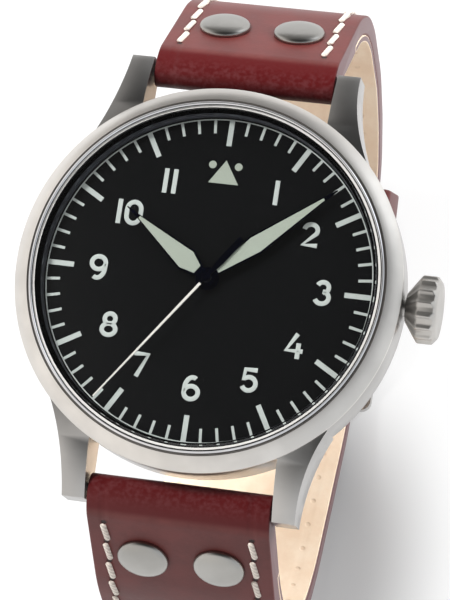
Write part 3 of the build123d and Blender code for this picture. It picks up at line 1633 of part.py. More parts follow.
with BuildPart() as buckle_frame:
    with BuildSketch(Plane.XY):
        with Locations((0, (buckle_rail_start_y + buckle_arm_end_y) / 2)):
            Rectangle(2 * buckle_outer_half, buckle_arm_end_y - buckle_rail_start_y)
        with Locations((0, (buckle_rail_end_y + buckle_arm_end_y + overrun) / 2)):
            Rectangle(
                2 * buckle_inner_half,
                buckle_arm_end_y + overrun - buckle_rail_end_y,
                mode=Mode.SUBTRACT,
            )
    extrude(amount=inner_flat_height + strap_thickness)
    rail_corners = buckle_frame.edges().filter_by(Axis.Z).group_by(Axis.Y)[0]
    fillet(rail_corners, buckle_corner_radius)
    with BuildSketch(Plane.YZ.offset(-buckle_outer_half)):
        Polygon(
            (buckle_rail_start_y, 0),
            (buckle_rail_end_y, 0),
            (buckle_arm_end_y, buckle_bar_height - buckle_arm_thickness / 2),
            (buckle_arm_end_y, buckle_bar_height + buckle_arm_thickness / 2),
            (buckle_bar_y - buckle_arm_thickness / 2, buckle_bar_height + buckle_arm_thickness / 2),
            (buckle_rail_end_y, buckle_rail_height),
            (buckle_rail_start_y, buckle_rail_height),
            align=None,
        )
    extrude(amount=2 * buckle_outer_half, mode=Mode.INTERSECT)
    with BuildSketch(Plane.XY):
        with Locations((0, buckle_rail_start_y)):
            Rectangle(2 * tongue_hole_half_width, 2 * (buckle_rail_end_y - buckle_rail_start_y))
    extrude(amount=tongue_notch_depth, mode=Mode.SUBTRACT)
    with BuildSketch(Plane.YZ):
        with Locations((buckle_bar_y, buckle_bar_height)):
            Circle(buckle_pin_radius + running_clearance)
    extrude(amount=buckle_outer_half, both=True, mode=Mode.SUBTRACT)
buckle_frame.part.label = "buckle_frame"
export_step(buckle_frame.part, "parts/buckle_frame.step")

with BuildPart() as buckle_bar:
    with BuildSketch(Plane.YZ):
        with Locations((buckle_bar_y, buckle_bar_height)):
            Circle(buckle_pin_radius)
    extrude(amount=buckle_outer_half, both=True)
buckle_bar.part.label = "buckle_bar"
export_step(buckle_bar.part, "parts/buckle_bar.step")

with BuildPart() as buckle_tongue:
    with BuildSketch(Plane.YZ):
        with Locations((buckle_bar_y, buckle_bar_height)):
            Circle(tongue_ring_radius)
        Polygon(
            (buckle_bar_y - tongue_thickness / 2, buckle_bar_height - tongue_hang),
            (tongue_drop_y + tongue_thickness / 2, 0),
            (tongue_tip_y, 0),
            (tongue_tip_y, tongue_thickness),
            (tongue_drop_y - tongue_thickness / 4, tongue_thickness),
            (buckle_bar_y - tongue_ring_radius, buckle_bar_height),
            align=None,
        )
        with Locations((buckle_bar_y, buckle_bar_height)):
            Circle(buckle_pin_radius + running_clearance, mode=Mode.SUBTRACT)
    extrude(amount=tongue_half_width, both=True)
buckle_tongue.part.label = "buckle_tongue"
export_step(buckle_tongue.part, "parts/buckle_tongue.step")

keeper_half_height = strap_thickness + layer_clearance / 2 + keeper_clearance
keeper_half_width = strap_half_width + keeper_side_clearance
keeper_outside = (
    2 * (keeper_half_width + keeper_thickness),
    2 * (keeper_half_height + keeper_thickness),
)
stack_middle = inner_flat_height - layer_clearance / 2
slope_start, slope_end = upper_corners[-2], upper_corners[-3]
slope_length = math.dist(slope_start, slope_end)
slope = ((slope_end[0] - slope_start[0]) / slope_length, (slope_end[1] - slope_start[1]) / slope_length)
free_keeper_middle = (
    slope_start[0] + free_keeper_station * slope[0] + layer_clearance / 2 * slope[1],
    slope_start[1] + free_keeper_station * slope[1] - layer_clearance / 2 * slope[0],
)
keeper_planes = {
    "fixed": Plane(origin=(0, fixed_keeper_y, stack_middle), x_dir=(1, 0, 0), z_dir=(0, 1, 0)),
    "free": Plane(origin=(0, *free_keeper_middle), x_dir=(1, 0, 0), z_dir=(0, *slope)),
}

with BuildPart() as fixed_keeper:
    with BuildSketch(keeper_planes["fixed"]):
        RectangleRounded(*keeper_outside, keeper_corner_radius)
        Rectangle(2 * keeper_half_width, 2 * keeper_half_height, mode=Mode.SUBTRACT)
    extrude(amount=keeper_width / 2, both=True)
fixed_keeper.part.label = "fixed_keeper"
export_step(fixed_keeper.part, "parts/fixed_keeper.step")

with BuildPart() as free_keeper:
    with BuildSketch(keeper_planes["free"]):
        RectangleRounded(*keeper_outside, keeper_corner_radius)
        Rectangle(2 * keeper_half_width, 2 * keeper_half_height, mode=Mode.SUBTRACT)
    extrude(amount=keeper_width / 2, both=True)
free_keeper.part.label = "free_keeper"
export_step(free_keeper.part, "parts/free_keeper.step")
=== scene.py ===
"""Finishes, print, strap, thread and studio for the pilot watch."""

import logging
import math
from collections.abc import Sequence
from dataclasses import dataclass
from enum import Enum
from functools import cache, partial

import bmesh
import bpy
from mathutils import Matrix, Vector


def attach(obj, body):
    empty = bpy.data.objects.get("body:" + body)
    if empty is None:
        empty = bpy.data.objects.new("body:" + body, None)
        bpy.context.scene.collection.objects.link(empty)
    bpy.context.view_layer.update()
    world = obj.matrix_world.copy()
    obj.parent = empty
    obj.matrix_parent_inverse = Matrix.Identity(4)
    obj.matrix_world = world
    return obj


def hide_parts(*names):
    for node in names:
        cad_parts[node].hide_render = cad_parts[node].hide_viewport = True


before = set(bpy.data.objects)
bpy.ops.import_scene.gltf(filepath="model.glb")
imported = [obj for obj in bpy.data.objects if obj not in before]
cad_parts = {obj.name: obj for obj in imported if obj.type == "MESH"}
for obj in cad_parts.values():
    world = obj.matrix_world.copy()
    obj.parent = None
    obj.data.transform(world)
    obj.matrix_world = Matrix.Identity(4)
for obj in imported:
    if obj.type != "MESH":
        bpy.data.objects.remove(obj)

log = logging.getLogger("pilot_watch")

Pair = tuple[float, float]
Triple = tuple[float, float, float]
Color = tuple[float, float, float, float]
Tree = bpy.types.NodeTree
Node = bpy.types.Node
Socket = bpy.types.NodeSocket
Shape = bmesh.types.BMesh

MM = 0.001
SIDEWAYS = Vector((1.0, 0.0, 0.0))
WHITE: Color = (1.0, 1.0, 1.0, 1.0)

# The dial's face over the ground, and the seam: its pitch, first hole and distance from the middle.
DIAL_HEIGHT = 49.6
SEAM_PITCH = 3.3
SEAM_START = 4.4
SEAM_REACH = 8.1

# Points nearer than this, in metres, become one: in a new shape and in a packed one.
MERGE = 1e-7
WELD = 2e-6

# Faces that meet at less than this become one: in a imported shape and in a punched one.
FLAT = math.radians(0.6)
LEVEL = math.radians(0.3)

# Edges sharper and longer than this are broken, in this many steps; the strap's rims have their own.
CREASE = math.radians(32.0)
SHORTEST = 0.3 * MM
EDGE_STEPS = 2
RIM_STEPS = 3

# A face that looks this straight along the drawing is an end; its material index marks it as cut.
FACING = 0.9
CUT_FACE = 1


def mm(*values: float) -> tuple[float, ...]:
    """Millimetres as metres."""
    return tuple(value * MM for value in values)


def srgb(red: int, green: int, blue: int) -> Color:
    """Colour given in eight-bit steps, as the linear colour a shader takes."""
    linear = []
    for value in (red, green, blue):
        share = value / 255
        linear.append(share / 12.92 if share <= 0.04045 else ((share + 0.055) / 1.055) ** 2.4)
    return (*linear, 1.0)


def darker(color: Color, share: float) -> Color:
    """The colour with only this share of its light."""
    return (*(channel * share for channel in color[:3]), 1.0)


def feed(tree: Tree, value: object, target: Socket) -> None:
    """Links a socket to the target, or sets a plain value on it."""
    if isinstance(value, Socket):
        tree.links.new(value, target)
    else:
        target.default_value = value


def math_node(tree: Tree, operation: str, *values: object) -> Socket:
    """Output of one Math node; each of its inputs is a socket or a number."""
    node = tree.nodes.new("ShaderNodeMath")
    node.operation = operation
    for value, target in zip(values, node.inputs):
        feed(tree, value, target)
    return node.outputs[0]


def mix_node(tree: Tree, share: object, first: object, second: object) -> Socket:
    """Output of one colour mix; the share and each colour are a socket or a value."""
    node = tree.nodes.new("ShaderNodeMix")
    node.data_type = "RGBA"
    for index, value in ((0, share), (6, first), (7, second)):
        feed(tree, value, node.inputs[index])
    return node.outputs[2]


def range_node(
    tree: Tree, value: Socket, limits: Pair, results: Pair = (0.0, 1.0), smooth: bool = True
) -> Socket:
    """Value taken from one range to another and held at its ends.

    Args:
        tree: nodes of the material, group or world.
        value: the value to change.
        limits: where the change starts and ends.
        results: what comes out there.
        smooth: whether it sets in and ends gently.

    Returns:
        The new value.
    """
    node = tree.nodes.new("ShaderNodeMapRange")
    node.interpolation_type = "SMOOTHSTEP" if smooth else "LINEAR"
    for label, number in zip(("From Min", "From Max", "To Min", "To Max"), (*limits, *results)):
        node.inputs[label].default_value = number
    tree.links.new(value, node.inputs["Value"])
    return node.outputs["Result"]


def texture_node(tree: Tree, kind: str, place: Socket, **values: object) -> Node:
    """A texture node at a place, with its other inputs fed by their names."""
    node = tree.nodes.new(f"ShaderNodeTex{kind}")
    tree.links.new(place, node.inputs["Vector"])
    for label, value in values.items():
        feed(tree, value, node.inputs[label.title()])
    return node


class Lay(Enum):
    """Direction in which a metal finish runs."""

    TURNED = "turned"
    ALONG = "along"
    ACROSS = "across"
    BLASTED = "blasted"


class Groups:
    """Node groups that several finishes share, each made once."""

    pore_softness: float = 0.6
    wrinkle_size: float = 0.45
    mottle_roughness: float = 0.62
    before_first_hole: float = 0.3 * MM

    @staticmethod
    def start(
        name: str, vectors: Sequence[str], floats: Sequence[str], results: Sequence[str]
    ) -> tuple[Tree, Sequence[Socket], Sequence[Socket]]:
        """Opens a new group with its sockets.

        Args:
            name: the group's name.
            vectors: names of the vectors that go in.
            floats: names of the numbers that go in.
            results: names of the numbers that come out.

        Returns:
            The tree, what goes in and what comes out.
        """
        tree = bpy.data.node_groups.new(name, "ShaderNodeTree")
        for labels, way, kind in (
            (vectors, "INPUT", "Vector"),
            (floats, "INPUT", "Float"),
            (results, "OUTPUT", "Float"),
        ):
            for label in labels:
                tree.interface.new_socket(label, in_out=way, socket_type=f"NodeSocket{kind}")
        inlet, outlet = tree.nodes.new("NodeGroupInput"), tree.nodes.new("NodeGroupOutput")
        return tree, inlet.outputs[: len(vectors) + len(floats)], outlet.inputs[: len(results)]

    @staticmethod
    @cache
    def metal_lay() -> Tree:
        """Fine lines or blast marks: a stretched noise that varies roughness and height."""
        tree, (place, stretch, roughness, variation), (rough, height) = Groups.start(
            "metal lay", ("Vector", "Stretch"), ("Roughness", "Variation"), ("Roughness", "Height")
        )
        scale = tree.nodes.new("ShaderNodeVectorMath")
        scale.operation = "MULTIPLY"
        feed(tree, place, scale.inputs[0])
        feed(tree, stretch, scale.inputs[1])
        marks = texture_node(tree, "Noise", scale.outputs[0], scale=1.0, detail=3.0).outputs["Fac"]
        centred = math_node(tree, "SUBTRACT", marks, 0.5)
        feed(tree, math_node(tree, "MULTIPLY_ADD", centred, variation, roughness), rough)
        feed(tree, marks, height)
        return tree

    @staticmethod
    @cache
    def leather_grain() -> Tree:
        """Pores, fine wrinkles and slow mottling of a waxed hide."""
        tree, (place, size, spread), (height, blotches) = Groups.start(
            "leather grain", ("Vector",), ("Pores", "Mottle"), ("Height", "Mottle")
        )
        pores = texture_node(tree, "Voronoi", place, scale=size)
        pores.feature = "SMOOTH_F1"
        pores.inputs["Smoothness"].default_value = Groups.pore_softness
        finer = math_node(tree, "MULTIPLY", size, Groups.wrinkle_size)
        wrinkles = texture_node(tree, "Noise", place, scale=finer, detail=4.0).outputs["Fac"]
        mottle = texture_node(
            tree, "Noise", place, scale=spread, detail=5.0, roughness=Groups.mottle_roughness
        )
        grain = math_node(tree, "MULTIPLY_ADD", pores.outputs["Distance"], 0.5, wrinkles)
        feed(tree, grain, height)
        feed(tree, mottle.outputs["Fac"], blotches)
        return tree

    @staticmethod
    @cache
    def seam_holes() -> Tree:
        """Row of awl holes: a mask from the way along a strap half and the way off its seam."""
        tree, (along, off, pitch, start, size), (mask,) = Groups.start(
            "seam holes", (), ("Along", "Off", "Pitch", "Start", "Size"), ("Mask",)
        )
        step = partial(math_node, tree)
        way = step("SUBTRACT", along, start)
        turns = step("ADD", step("DIVIDE", way, pitch), 0.5)
        near = step("MULTIPLY", step("SUBTRACT", step("FRACT", turns), 0.5), pitch)
        square = step("ADD", step("MULTIPLY", near, near), step("MULTIPLY", off, off))
        inside = step("SUBTRACT", 1.0, step("DIVIDE", step("SQRT", square), size))
        begun = step("GREATER_THAN", way, -Groups.before_first_hole)
        feed(tree, step("MULTIPLY", step("MAXIMUM", inside, 0.0), begun), mask)
        return tree


class Shader:
    """A material with one Principled shader and short helpers to wire nodes to it."""

    short_names: dict[str, str] = {"ior": "IOR", "specular": "Specular IOR Level"}

    def __init__(self, name: str) -> None:
        """Makes an empty material of that name."""
        self.material = bpy.data.materials.new(name)
        self.material.use_nodes = True
        self.tree = self.material.node_tree
        self.tree.nodes.clear()
        self.output = self.tree.nodes.new("ShaderNodeOutputMaterial")
        self.surface = self.tree.nodes.new("ShaderNodeBsdfPrincipled")
        self.link(self.surface.outputs[0], self.output.inputs["Surface"])
        self.place = self.tree.nodes.new("ShaderNodeTexCoord").outputs["Object"]
        self.math = partial(math_node, self.tree)
        self.mix = partial(mix_node, self.tree)
        self.ramp = partial(range_node, self.tree)

    def link(self, source: Socket, target: Socket) -> None:
        """Joins two sockets."""
        self.tree.links.new(source, target)

    def group(self, tree: Tree, **values: object) -> Node:
        """Places a shared group; each of its inputs is a socket or a value."""
        node = self.tree.nodes.new("ShaderNodeGroup")
        node.node_tree = tree
        for label, value in values.items():
            feed(self.tree, value, node.inputs[label.title()])
        return node

    def marks(self, scale: float, roughness: float = 0.0, variation: float = 1.0) -> Node:
        """Even metal lay over the object, as fine as the scale says."""
        return self.group(
            Groups.metal_lay(),
            vector=self.place,
            stretch=(scale,) * 3,
            roughness=roughness,
            variation=variation,
        )

    def parts(self) -> tuple[Socket, Socket, Socket]:
        """The X, Y and Z of the object coordinates."""
        node = self.tree.nodes.new("ShaderNodeSeparateXYZ")
        self.link(self.place, node.inputs[0])
        return node.outputs[0], node.outputs[1], node.outputs[2]

    def away(self, x: Socket, y: Socket) -> Socket:
        """Length of a flat distance given by its two parts."""
        return self.math("SQRT", self.math("ADD", self.math("MULTIPLY", x, x), self.math("MULTIPLY", y, y)))

    def polar(self) -> Socket:
        """Object coordinates as distance from the hands' axis, turn and height."""
        x, y, z = self.parts()
        node = self.tree.nodes.new("ShaderNodeCombineXYZ")
        self.link(self.away(x, y), node.inputs[0])
        self.link(self.math("MULTIPLY", self.math("ARCTAN2", y, x), MM), node.inputs[1])
        self.link(z, node.inputs[2])
        return node.outputs[0]

    def bump(self, height: Socket, depth: float) -> None:
        """Feeds a height to the shader's normal, its full depth in millimetres."""
        node = self.tree.nodes.new("ShaderNodeBump")
        node.inputs["Distance"].default_value = depth * MM
        self.link(height, node.inputs["Height"])
        self.link(node.outputs[0], self.surface.inputs["Normal"])

    def dress(self, **values: object) -> None:
        """Feeds the shader's own sockets with plain values or with other nodes."""
        for label, value in values.items():
            name = self.short_names.get(label, label.replace("_", " ").title())
            feed(self.tree, value, self.surface.inputs[name])

    def finish(self, lay: Node, depth: float, **values: object) -> bpy.types.Material:
        """Feeds the shader, takes gloss and height from a metal lay, and gives the material."""
        self.dress(roughness=lay.outputs["Roughness"], **values)
        self.bump(lay.outputs["Height"], depth)
        return self.material

    def give_way(self, share: Socket, other: Node) -> None:
        """Lets another shader take this share of the Principled one's place."""
        blend = self.tree.nodes.new("ShaderNodeMixShader")
        for source, target in zip((share, self.surface.outputs[0], other.outputs[0]), blend.inputs):
            self.link(source, target)
        self.link(blend.outputs[0], self.output.inputs["Surface"])


@dataclass(frozen=True)
class Metal:
    """A bare metal with its colour, gloss and the marks that finishing left."""

    name: str
    color: Color
    roughness: float
    lay: Lay
    depth: float
    variation: float
    lines: float
    line_length: float = 60.0
    cloud: float = 160.0
    cloud_limits: Pair = (0.35, 0.65)
    dull: float = 0.86

    def build(self) -> bpy.types.Material:
        """The finish as a material."""
        shader = Shader(self.name)
        fine, long = self.lines, self.lines / self.line_length
        stretch = {
            Lay.TURNED: (fine, long, fine),
            Lay.ALONG: (fine, long, fine),
            Lay.ACROSS: (long, fine, fine),
            Lay.BLASTED: (fine, fine, fine),
        }[self.lay]
        lay = shader.group(
            Groups.metal_lay(),
            vector=shader.polar() if self.lay is Lay.TURNED else shader.place,
            stretch=stretch,
            roughness=self.roughness,
            variation=self.variation,
        )
        tone = shader.ramp(shader.marks(self.cloud).outputs["Height"], self.cloud_limits)
        color = shader.mix(tone, self.color, darker(self.color, self.dull))
        return shader.finish(lay, self.depth, base_color=color, metallic=1.0)


@dataclass(frozen=True)
class Paint:
    """Paint, lume or print: one colour with fine unevenness."""

    name: str
    color: Color
    roughness: float
    grain: float
    depth: float
    contrast: float
    coat: float = 0.0
    specular: float = 0.5
    variation: float = 0.15
    tone_limits: Pair = (0.3, 0.7)

    def build(self) -> bpy.types.Material:
        """The finish as a material."""
        shader = Shader(self.name)
        lay = shader.marks(self.grain, self.roughness, self.variation)
        tone = shader.ramp(lay.outputs["Height"], self.tone_limits)
        color = shader.mix(tone, darker(self.color, 1 - self.contrast), self.color)
        return shader.finish(
            lay, self.depth, base_color=color, coat_weight=self.coat, specular=self.specular
        )


@dataclass(frozen=True)
class SecondsPaint:
    """White lacquer on the pointing end of the seconds hand, blued steel on its tail."""

    name: str
    white: Color
    blued: Color
    clock: float
    start: float = 0.9
    grain: float = 9000.0
    roughness: float = 0.35
    variation: float = 0.1
    depth: float = 0.002

    def build(self) -> bpy.types.Material:
        """The finish as a material."""
        shader = Shader(self.name)
        turn = math.radians(self.clock)
        x, y, _ = shader.parts()
        along = shader.math(
            "ADD", shader.math("MULTIPLY", x, math.sin(turn)), shader.math("MULTIPLY", y, math.cos(turn))
        )
        white = shader.math("GREATER_THAN", along, self.start * MM)
        lay = shader.marks(self.grain, self.roughness, self.variation)
        color = shader.mix(white, self.blued, self.white)
        bare = shader.math("SUBTRACT", 1.0, white)
        return shader.finish(lay, self.depth, base_color=color, metallic=bare)


@dataclass(frozen=True)
class Glass:
    """Clear crystal that lets lamp light through to the dial."""

    name: str
    ior: float = 1.5
    dust: float = 700.0
    roughness: float = 0.01
    variation: float = 0.02

    def build(self) -> bpy.types.Material:
        """The finish as a material."""
        shader = Shader(self.name)
        lay = shader.marks(self.dust, self.roughness, self.variation)
        shader.dress(
            base_color=WHITE,
            transmission_weight=1.0,
            ior=self.ior,
            roughness=lay.outputs["Roughness"],
        )
        path = shader.tree.nodes.new("ShaderNodeLightPath")
        unseen = shader.math("MAXIMUM", path.outputs["Is Shadow Ray"], path.outputs["Is Diffuse Ray"])
        shader.give_way(unseen, shader.tree.nodes.new("ShaderNodeBsdfTransparent"))
        return shader.material


@dataclass(frozen=True)
class Hide:
    """Waxed leather: mottled, pored, pierced along its seams with the holes painted dark as shade, redder
    where it folds round a spring bar.
    """

    name: str
    color: Color
    deep: Color
    fold: Color
    fleck: Color
    # Colour of the awl holes: painted shade, since the holes are only pressed in by the bump.
    painted_hole_shade: Color
    roughness: float = 0.44
    depth: float = 0.03
    fold_band: Pair = (25.3, 25.95)
    pores: float = 3000.0
    hole_size: float = 0.42
    coat: float = 0.04
    coat_roughness: float = 0.4
    specular: float = 0.3
    mottle: float = 240.0
    mottle_limits: Pair = (0.32, 0.68)
    fold_height: float = 40.0
    fleck_scale: float = 2300.0
    fleck_limits: Pair = (0.36, 0.72)
    fleck_band: Pair = (23.4, 25.4)
    pierced_limits: Pair = (0.05, 0.6)
    seam_band: Pair = (0.1, 0.7)
    roughness_spread: float = 0.2
    fold_roughness: float = 0.08
    grain_height: float = 0.35
    seam_height: float = 2.2
    hole_depth: float = 6.0

    def skin(self, shader: Shader, grain: Node) -> tuple[Socket, Socket]:
        """Colour of the unpierced leather.

        Args:
            shader: the material.
            grain: its grain.

        Returns:
            The colour, and a mask of the fold round the spring bar.
        """
        _, y, z = shader.parts()
        reach = shader.math("ABSOLUTE", y)
        high = shader.math("GREATER_THAN", z, self.fold_height * MM)
        near = shader.math("SUBTRACT", 1.0, shader.ramp(reach, mm(*self.fold_band)))
        folded = shader.math("MULTIPLY", near, high)
        low = shader.math("SUBTRACT", 1.0, shader.ramp(reach, mm(*self.fleck_band)))
        worn = shader.ramp(shader.marks(self.fleck_scale).outputs["Height"], self.fleck_limits)
        fold = shader.mix(shader.math("MULTIPLY", worn, low), self.fold, self.fleck)
        face = shader.mix(shader.ramp(grain.outputs["Mottle"], self.mottle_limits), self.deep, self.color)
        return shader.mix(folded, face, fold), folded

    def build(self) -> bpy.types.Material:
        """The finish as a material."""
        shader = Shader(self.name)
        grain = shader.group(
            Groups.leather_grain(), vector=shader.place, pores=self.pores, mottle=self.mottle
        )
        skin, folded = self.skin(shader, grain)
        along = shader.tree.nodes.new("ShaderNodeAttribute")
        along.attribute_name = "along"
        sideways = shader.math("ABSOLUTE", shader.parts()[0])
        off_seam = shader.math("ABSOLUTE", shader.math("SUBTRACT", sideways, SEAM_REACH * MM))
        holes = shader.group(
            Groups.seam_holes(),
            along=along.outputs["Fac"],
            off=off_seam,
            pitch=SEAM_PITCH * MM,
            start=SEAM_START * MM,
            size=self.hole_size * MM,
        )
        pierced = shader.ramp(holes.outputs["Mask"], self.pierced_limits)
        smooth = shader.math(
            "MULTIPLY_ADD", folded, self.fold_roughness, self.roughness - self.roughness_spread / 2
        )
        # The seam's holes get the dark colour: painted shade in the awl holes.
        shader.dress(
            base_color=shader.mix(pierced, skin, self.painted_hole_shade),
            roughness=shader.math("MULTIPLY_ADD", grain.outputs["Mottle"], self.roughness_spread, smooth),
            coat_weight=self.coat,
            coat_roughness=self.coat_roughness,
            specular=self.specular,
        )
        seam = shader.math("MULTIPLY", shader.ramp(off_seam, mm(*self.seam_band)), self.seam_height)
        pressed = shader.math("SUBTRACT", seam, shader.math("MULTIPLY", pierced, self.hole_depth))
        height = shader.math("MULTIPLY_ADD", grain.outputs["Height"], self.grain_height, pressed)
        shader.bump(height, self.depth)
        return shader.material


@dataclass(frozen=True)
class Thread:
    """Twisted linen thread."""

    name: str
    color: Color
    twist: float = 900.0
    unevenness: float = 2.0
    shade: float = 0.72
    depth: float = 0.06
    roughness: float = 0.8
    sheen: float = 0.3

    def build(self) -> bpy.types.Material:
        """The finish as a material."""
        shader = Shader(self.name)
        wave = texture_node(
            shader.tree, "Wave", shader.place, scale=self.twist, distortion=self.unevenness
        )
        wave.bands_direction = "DIAGONAL"
        shader.dress(
            base_color=shader.mix(wave.outputs["Fac"], darker(self.color, self.shade), self.color),
            roughness=self.roughness,
            sheen_weight=self.sheen,
        )
        shader.bump(wave.outputs["Fac"], self.depth)
        return shader.material


class Finishes:
    """Every finish of the watch, built when it is first asked for."""

    recipes = {
        recipe.name: recipe
        for recipe in (
            Metal("bezel_satin", srgb(226, 222, 217), 0.34, Lay.TURNED, 0.003, 0.1, 12000.0),
            Metal("case_satin", srgb(196, 194, 191), 0.3, Lay.ALONG, 0.003, 0.1, 9000.0),
            Metal("lug_satin", srgb(190, 188, 186), 0.32, Lay.ALONG, 0.003, 0.1, 9000.0),
            Metal("broken_edge", srgb(236, 235, 233), 0.22, Lay.BLASTED, 0.001, 0.06, 5000.0),
            Metal("polished", srgb(222, 222, 224), 0.09, Lay.TURNED, 0.0001, 0.02, 3000.0),
            # Dark steel of the inner ring and the bezel's inner wall: a painted reflection of the black dial
            # in polished metal.
            Metal("ring_painted_dark", srgb(128, 130, 140), 0.4, Lay.TURNED, 0.001, 0.05, 6000.0),
            # Steel of the bezel's groove, darker than the bezel's own: painted shade in the groove.
            Metal("painted_dark_groove", srgb(188, 183, 178), 0.5, Lay.TURNED, 0.002, 0.1, 9000.0),
            Metal("crown_satin", srgb(202, 199, 195), 0.46, Lay.BLASTED, 0.004, 0.12, 9000.0),
            Metal("buckle_satin", srgb(198, 196, 193), 0.28, Lay.ACROSS, 0.003, 0.1, 9000.0),
            Metal("rivet_satin", srgb(172, 170, 166), 0.3, Lay.BLASTED, 0.002, 0.08, 7000.0),
            Metal("blued", srgb(22, 30, 66), 0.2, Lay.BLASTED, 0.0008, 0.06, 8000.0),
            Metal("gilt", srgb(206, 176, 110), 0.28, Lay.TURNED, 0.002, 0.1, 9000.0),
            Metal("rhodium", srgb(205, 204, 200), 0.36, Lay.ACROSS, 0.002, 0.1, 5000.0),
            Metal("hard_steel", srgb(200, 200, 202), 0.18, Lay.BLASTED, 0.001, 0.06, 7000.0),
            Paint("dial", srgb(12, 13, 14), 0.5, 14000.0, 0.003, 0.25, 0.0, 0.12),
            Paint("marking", srgb(178, 185, 181), 0.6, 9000.0, 0.012, 0.06),
            Paint("lume", srgb(152, 160, 148), 0.75, 7000.0, 0.02, 0.08),
            Paint("seal", srgb(38, 30, 26), 0.5, 5000.0, 0.004, 0.1),
            Paint("clear_seal", srgb(214, 212, 208), 0.4, 5000.0, 0.004, 0.08),
            Paint("holder", srgb(190, 190, 186), 0.5, 3000.0, 0.01, 0.1),
            SecondsPaint("seconds", srgb(208, 206, 199), srgb(16, 20, 44), 215.5),
            Glass("crystal_clear"),
            Hide(
                "hide",
                color=srgb(101, 48, 46),
                deep=srgb(88, 39, 37),
                fold=srgb(80, 16, 18),
                fleck=srgb(92, 40, 42),
                painted_hole_shade=srgb(34, 11, 11),
            ),
            Paint("cut_edge", srgb(116, 88, 90), 0.45, 2600.0, 0.02, 0.12, 0.04, 0.3),
            Hide(
                "lining",
                color=srgb(252, 232, 208),
                deep=srgb(243, 217, 190),
                fold=srgb(243, 217, 190),
                fleck=srgb(252, 232, 208),
                painted_hole_shade=srgb(238, 212, 186),
                roughness=0.6,
                depth=0.012,
                fold_band=(0.0, 0.1),
                pores=2200.0,
                hole_size=0.4,
                coat=0.0,
            ),
            Thread("thread", srgb(238, 226, 214)),
        )
    }

    @staticmethod
    @cache
    def get(name: str) -> bpy.types.Material:
        """The finish of that name."""
        return Finishes.recipes[name].build()


def linked(name: str, data: bpy.types.ID) -> bpy.types.Object:
    """A new object with this data, in the scene."""
    obj = bpy.data.objects.new(name, data)
    bpy.context.scene.collection.objects.link(obj)
    return obj


def as_mesh(shape: Shape, name: str) -> bpy.types.Mesh:
    """The shape as a new mesh; the shape is freed."""
    mesh = bpy.data.meshes.new(name)
    shape.to_mesh(mesh)
    shape.free()
    return mesh


def add_mesh(shape: Shape, mesh: bpy.types.Mesh) -> Shape:
    """The shape with a mesh added to it; the mesh goes."""
    shape.from_mesh(mesh)
    bpy.data.meshes.remove(mesh)
    return shape


@dataclass
class Piece:
    """A finished piece on its way from a bmesh to the scene."""

    name: str
    body: str
    finish: Sequence[str]
    slot: str = ""
    replaces: Sequence[str] = ()
    sharp: float = 35.0

    def place(self, shape: Shape) -> None:
        """Turns the shape, in metres and in its place, into a dressed object on its body."""
        bmesh.ops.recalc_face_normals(shape, faces=shape.faces)
        mesh = as_mesh(shape, self.name)
        mesh.shade_smooth()
        mesh.set_sharp_from_angle(angle=math.radians(self.sharp))
        for finish in self.finish:
            mesh.materials.append(Finishes.get(finish))
        obj = linked(self.name, mesh)
        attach(obj, self.body)
        if self.replaces:
            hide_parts(*self.replaces)
        log.info("%s rides on %s: %d faces", self.name, self.body, len(mesh.polygons))


def rounded(
    shape: Shape,
    items: Sequence[object],
    width: float,
    segments: int,
    affect: str = "EDGES",
    material: int = -1,
    clamp: bool = False,
) -> None:
    """Rounds edges or corners off.

    Args:
        shape: what they are part of.
        items: the edges, or the corners of a flat section.
        width: how far the rounding reaches, in millimetres.
        segments: its steps.
        affect: EDGES or VERTICES.
        material: material index of the rounding, -1 for that of its neighbours.
        clamp: whether it stops short of its neighbours.
    """
    bmesh.ops.bevel(
        shape,
        geom=items,
        offset=width * MM,
        offset_type="OFFSET",
        segments=segments,
        profile=0.5,
        affect=affect,
        material=material,
        clamp_overlap=clamp,
    )


def full_turn(shape: Shape, parts: Sequence[object], axis: Triple, steps: int) -> Shape:
    """Spins points and edges once round an axis through the origin, and closes the seam."""
    bmesh.ops.spin(
        shape, geom=parts, cent=(0, 0, 0), axis=axis, angle=math.tau, steps=steps, use_merge=True
    )
    bmesh.ops.remove_doubles(shape, verts=shape.verts, dist=MERGE)
    return shape


def turned(profile: Sequence[Pair], steps: int, corner: float = 0.0) -> Shape:
    """Closed profile spun round the hands' axis.

    Args:
        profile: corners of the section in millimetres: radius, and height above the dial.
        steps: segments of the full turn.
        corner: radius that the section's corners are rounded to first.

    Returns:
        The turned body.
    """
    shape = bmesh.new()
    corners = [shape.verts.new(mm(radius, 0, DIAL_HEIGHT + height)) for radius, height in profile]
    section = shape.faces.new(corners)
    if corner:
        off_axis = [vertex for vertex in corners if vertex.co.x > MM]
        rounded(shape, off_axis, corner, EDGE_STEPS, "VERTICES")
        section = shape.faces[:][0]
    ring = shape.edges[:]
    bmesh.ops.delete(shape, geom=[section], context="FACES_ONLY")
    return full_turn(shape, ring + shape.verts[:], (0.0, 0.0, 1.0), steps)


def spun(line: Sequence[Pair], axis: Triple, steps: int) -> Shape:
    """Open line of X and Z, in millimetres, spun round an axis through the origin."""
    shape = bmesh.new()
    row = [shape.verts.new(mm(x, 0, z)) for x, z in line]
    edges = [shape.edges.new(pair) for pair in zip(row, row[1:])]
    return full_turn(shape, row + edges, axis, steps)


